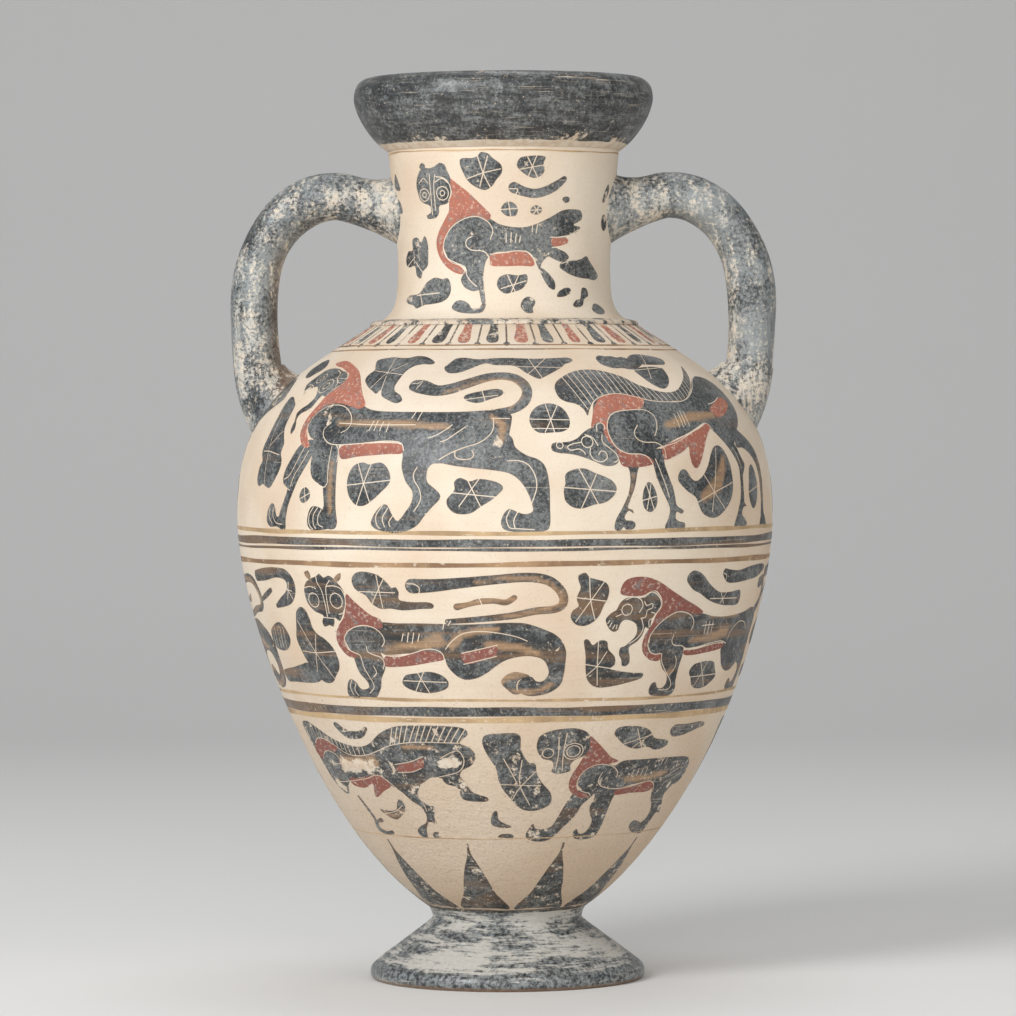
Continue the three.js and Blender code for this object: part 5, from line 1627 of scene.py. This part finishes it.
for word, shift in (("first", 0), ("second", 222)):
    paint(f"low_boar_{word}", THIRD, LOW_BOAR, (shift, 0))
    paint(f"low_panther_{word}", THIRD, LOW_PANTHER, (shift, 0))
    paint(f"low_fillers_{word}", THIRD, LOW_FILLERS, (shift, 0))
paint("low_panther_third", THIRD, LOW_PANTHER, (313, 0), 0.93)

for face, shift in (("front", 0), ("back", ONCE_ROUND_NECK / 2)):
    paint(f"neck_panther_{face}", ON_NECK, NECK_PANTHER, (shift, 0))
    paint(f"neck_fillers_{face}", ON_NECK, NECK_FILLERS, (shift, 0))

for word, at in (("right", ONCE_ROUND / 4), ("left", -ONCE_ROUND / 4)):
    tail = HANDLE_TAIL if word == "right" else WIDE_TAIL
    paint(f"root_tail_{word}", ROOTS, {"slip": [tail]}, (at, 0))
    paint(f"root_rosette_{word}", FIRST, {"slip": [ROSETTE], "cuts": ROSETTE_STAR}, (at + 60, -6))

RAY_COUNT = 10
ray_pitch = 2 * math.pi * RAYS.ref_radius / RAY_COUNT
rays = [move(smooth(RAY["slip"][0], True), (-13 + ray_pitch * k, 0), 1) for k in range(RAY_COUNT)]
paint("rays", RAYS, {"slip": rays})

TONGUE_COUNT = 36
tongue_pitch = 2 * math.pi * TONGUES.ref_radius / TONGUE_COUNT
tongues = {"black": [], "red": []}
stems = []
dots = []
for k in range(TONGUE_COUNT):
    middle = -5.5 + tongue_pitch * k
    lean = 0.05 * math.sin(k * 2.1)
    outline = [(middle + u * (1 + 0.12 * math.sin(k * 1.7)) + lean * v, v) for u, v in TONGUE]
    tongues["red" if k % 2 else "black"].append(outline)
    stems.append([(middle + 0.4 * tongue_pitch + 1.2, 20.5, 0.9), (middle + 0.5 * tongue_pitch, 12, 0.9),
                  (middle + 0.5 * tongue_pitch, 5, 0.8)])
    dots.append(ring(middle + 0.5 * tongue_pitch, 3.6, 1.6)[:-1])
paint("tongues", TONGUES, {"slip": tongues["black"] + dots, "strokes": stems, "red": tongues["red"]})


# ---------------------------------------------------------------- the room, the light and the camera

def plain_material(name, colour, rough):
    look = Look(name)
    return look.done((*colour, 1.0), rough)


COVE_START = 1.6  # metres behind the pot, where the floor curves up into the backdrop
COVE_R = 1.2
FLOOR_COLOUR = (0.8, 0.79, 0.77)
cove = [
    (COVE_START + COVE_R * math.sin(a), COVE_R - COVE_R * math.cos(a))
    for a in np.radians(range(10, 91, 10))
]
sweep = [(-5, 0), (COVE_START, 0)] + cove + [(COVE_START + COVE_R, 5)]
floor_mesh = bpy.data.meshes.new("floor")
floor_mesh.from_pydata(
    [(x, y, z) for x in (-6, 6) for y, z in sweep], [],
    [(k, k + len(sweep), k + len(sweep) + 1, k + 1) for k in range(len(sweep) - 1)],
)
floor_mesh.shade_smooth()
floor_mesh.materials.append(plain_material("pale_floor", FLOOR_COLOUR, 0.8))
floor = bpy.data.objects.new("floor", floor_mesh)
bpy.context.scene.collection.objects.link(floor)


def soft_light(name, place, aim, size, power, colour):
    data = bpy.data.lights.new(name, "AREA")
    data.shape = "RECTANGLE"
    data.size, data.size_y = size
    data.energy = power
    data.color = colour
    made = bpy.data.objects.new(name, data)
    made.location = place
    made.rotation_euler = (Vector(aim) - Vector(place)).to_track_quat("-Z", "Y").to_euler()
    bpy.context.scene.collection.objects.link(made)


soft_light("key", (-1.25, -1.7, 1.35), (0, 0, 0.22), (0.8, 1.1), 38, (0.98, 0.99, 1.0))
soft_light("front", (0.1, -2.7, 1.3), (0, 0, 0.25), (1.6, 1.0), 18, (1.0, 0.985, 0.96))
soft_light("fill", (1.5, -1.5, 0.7), (0, 0, 0.22), (0.7, 1.2), 5.5, (1.0, 0.93, 0.84))
soft_light("top", (0.1, 0.5, 1.9), (0, 0, 0.3), (1.0, 1.0), 8, (1.0, 1.0, 1.0))

world = bpy.data.worlds.new("room")
bpy.context.scene.world = world
world.use_nodes = True
world.node_tree.nodes["Background"].inputs["Color"].default_value = (0.86, 0.9, 0.95, 1)
world.node_tree.nodes["Background"].inputs["Strength"].default_value = 0.3
bpy.context.scene.view_settings.view_transform = "Standard"

CAMERA_PLACE = (0.00125, -2.296, 0.26)
CAMERA_LENS = 182.8
CAMERA_DOWN = 1.27  # degrees below level
CAMERA_ROLL = -0.28
camera_data = bpy.data.cameras.new("camera")
camera_data.lens = CAMERA_LENS
camera_data.sensor_width = 36
camera = bpy.data.objects.new("camera", camera_data)
bpy.context.scene.collection.objects.link(camera)
camera.location = CAMERA_PLACE
down = Matrix.Rotation(math.radians(90 - CAMERA_DOWN), 3, "X")
camera.rotation_euler = (down @ Matrix.Rotation(math.radians(CAMERA_ROLL), 3, "Z")).to_euler()
bpy.context.scene.camera = camera
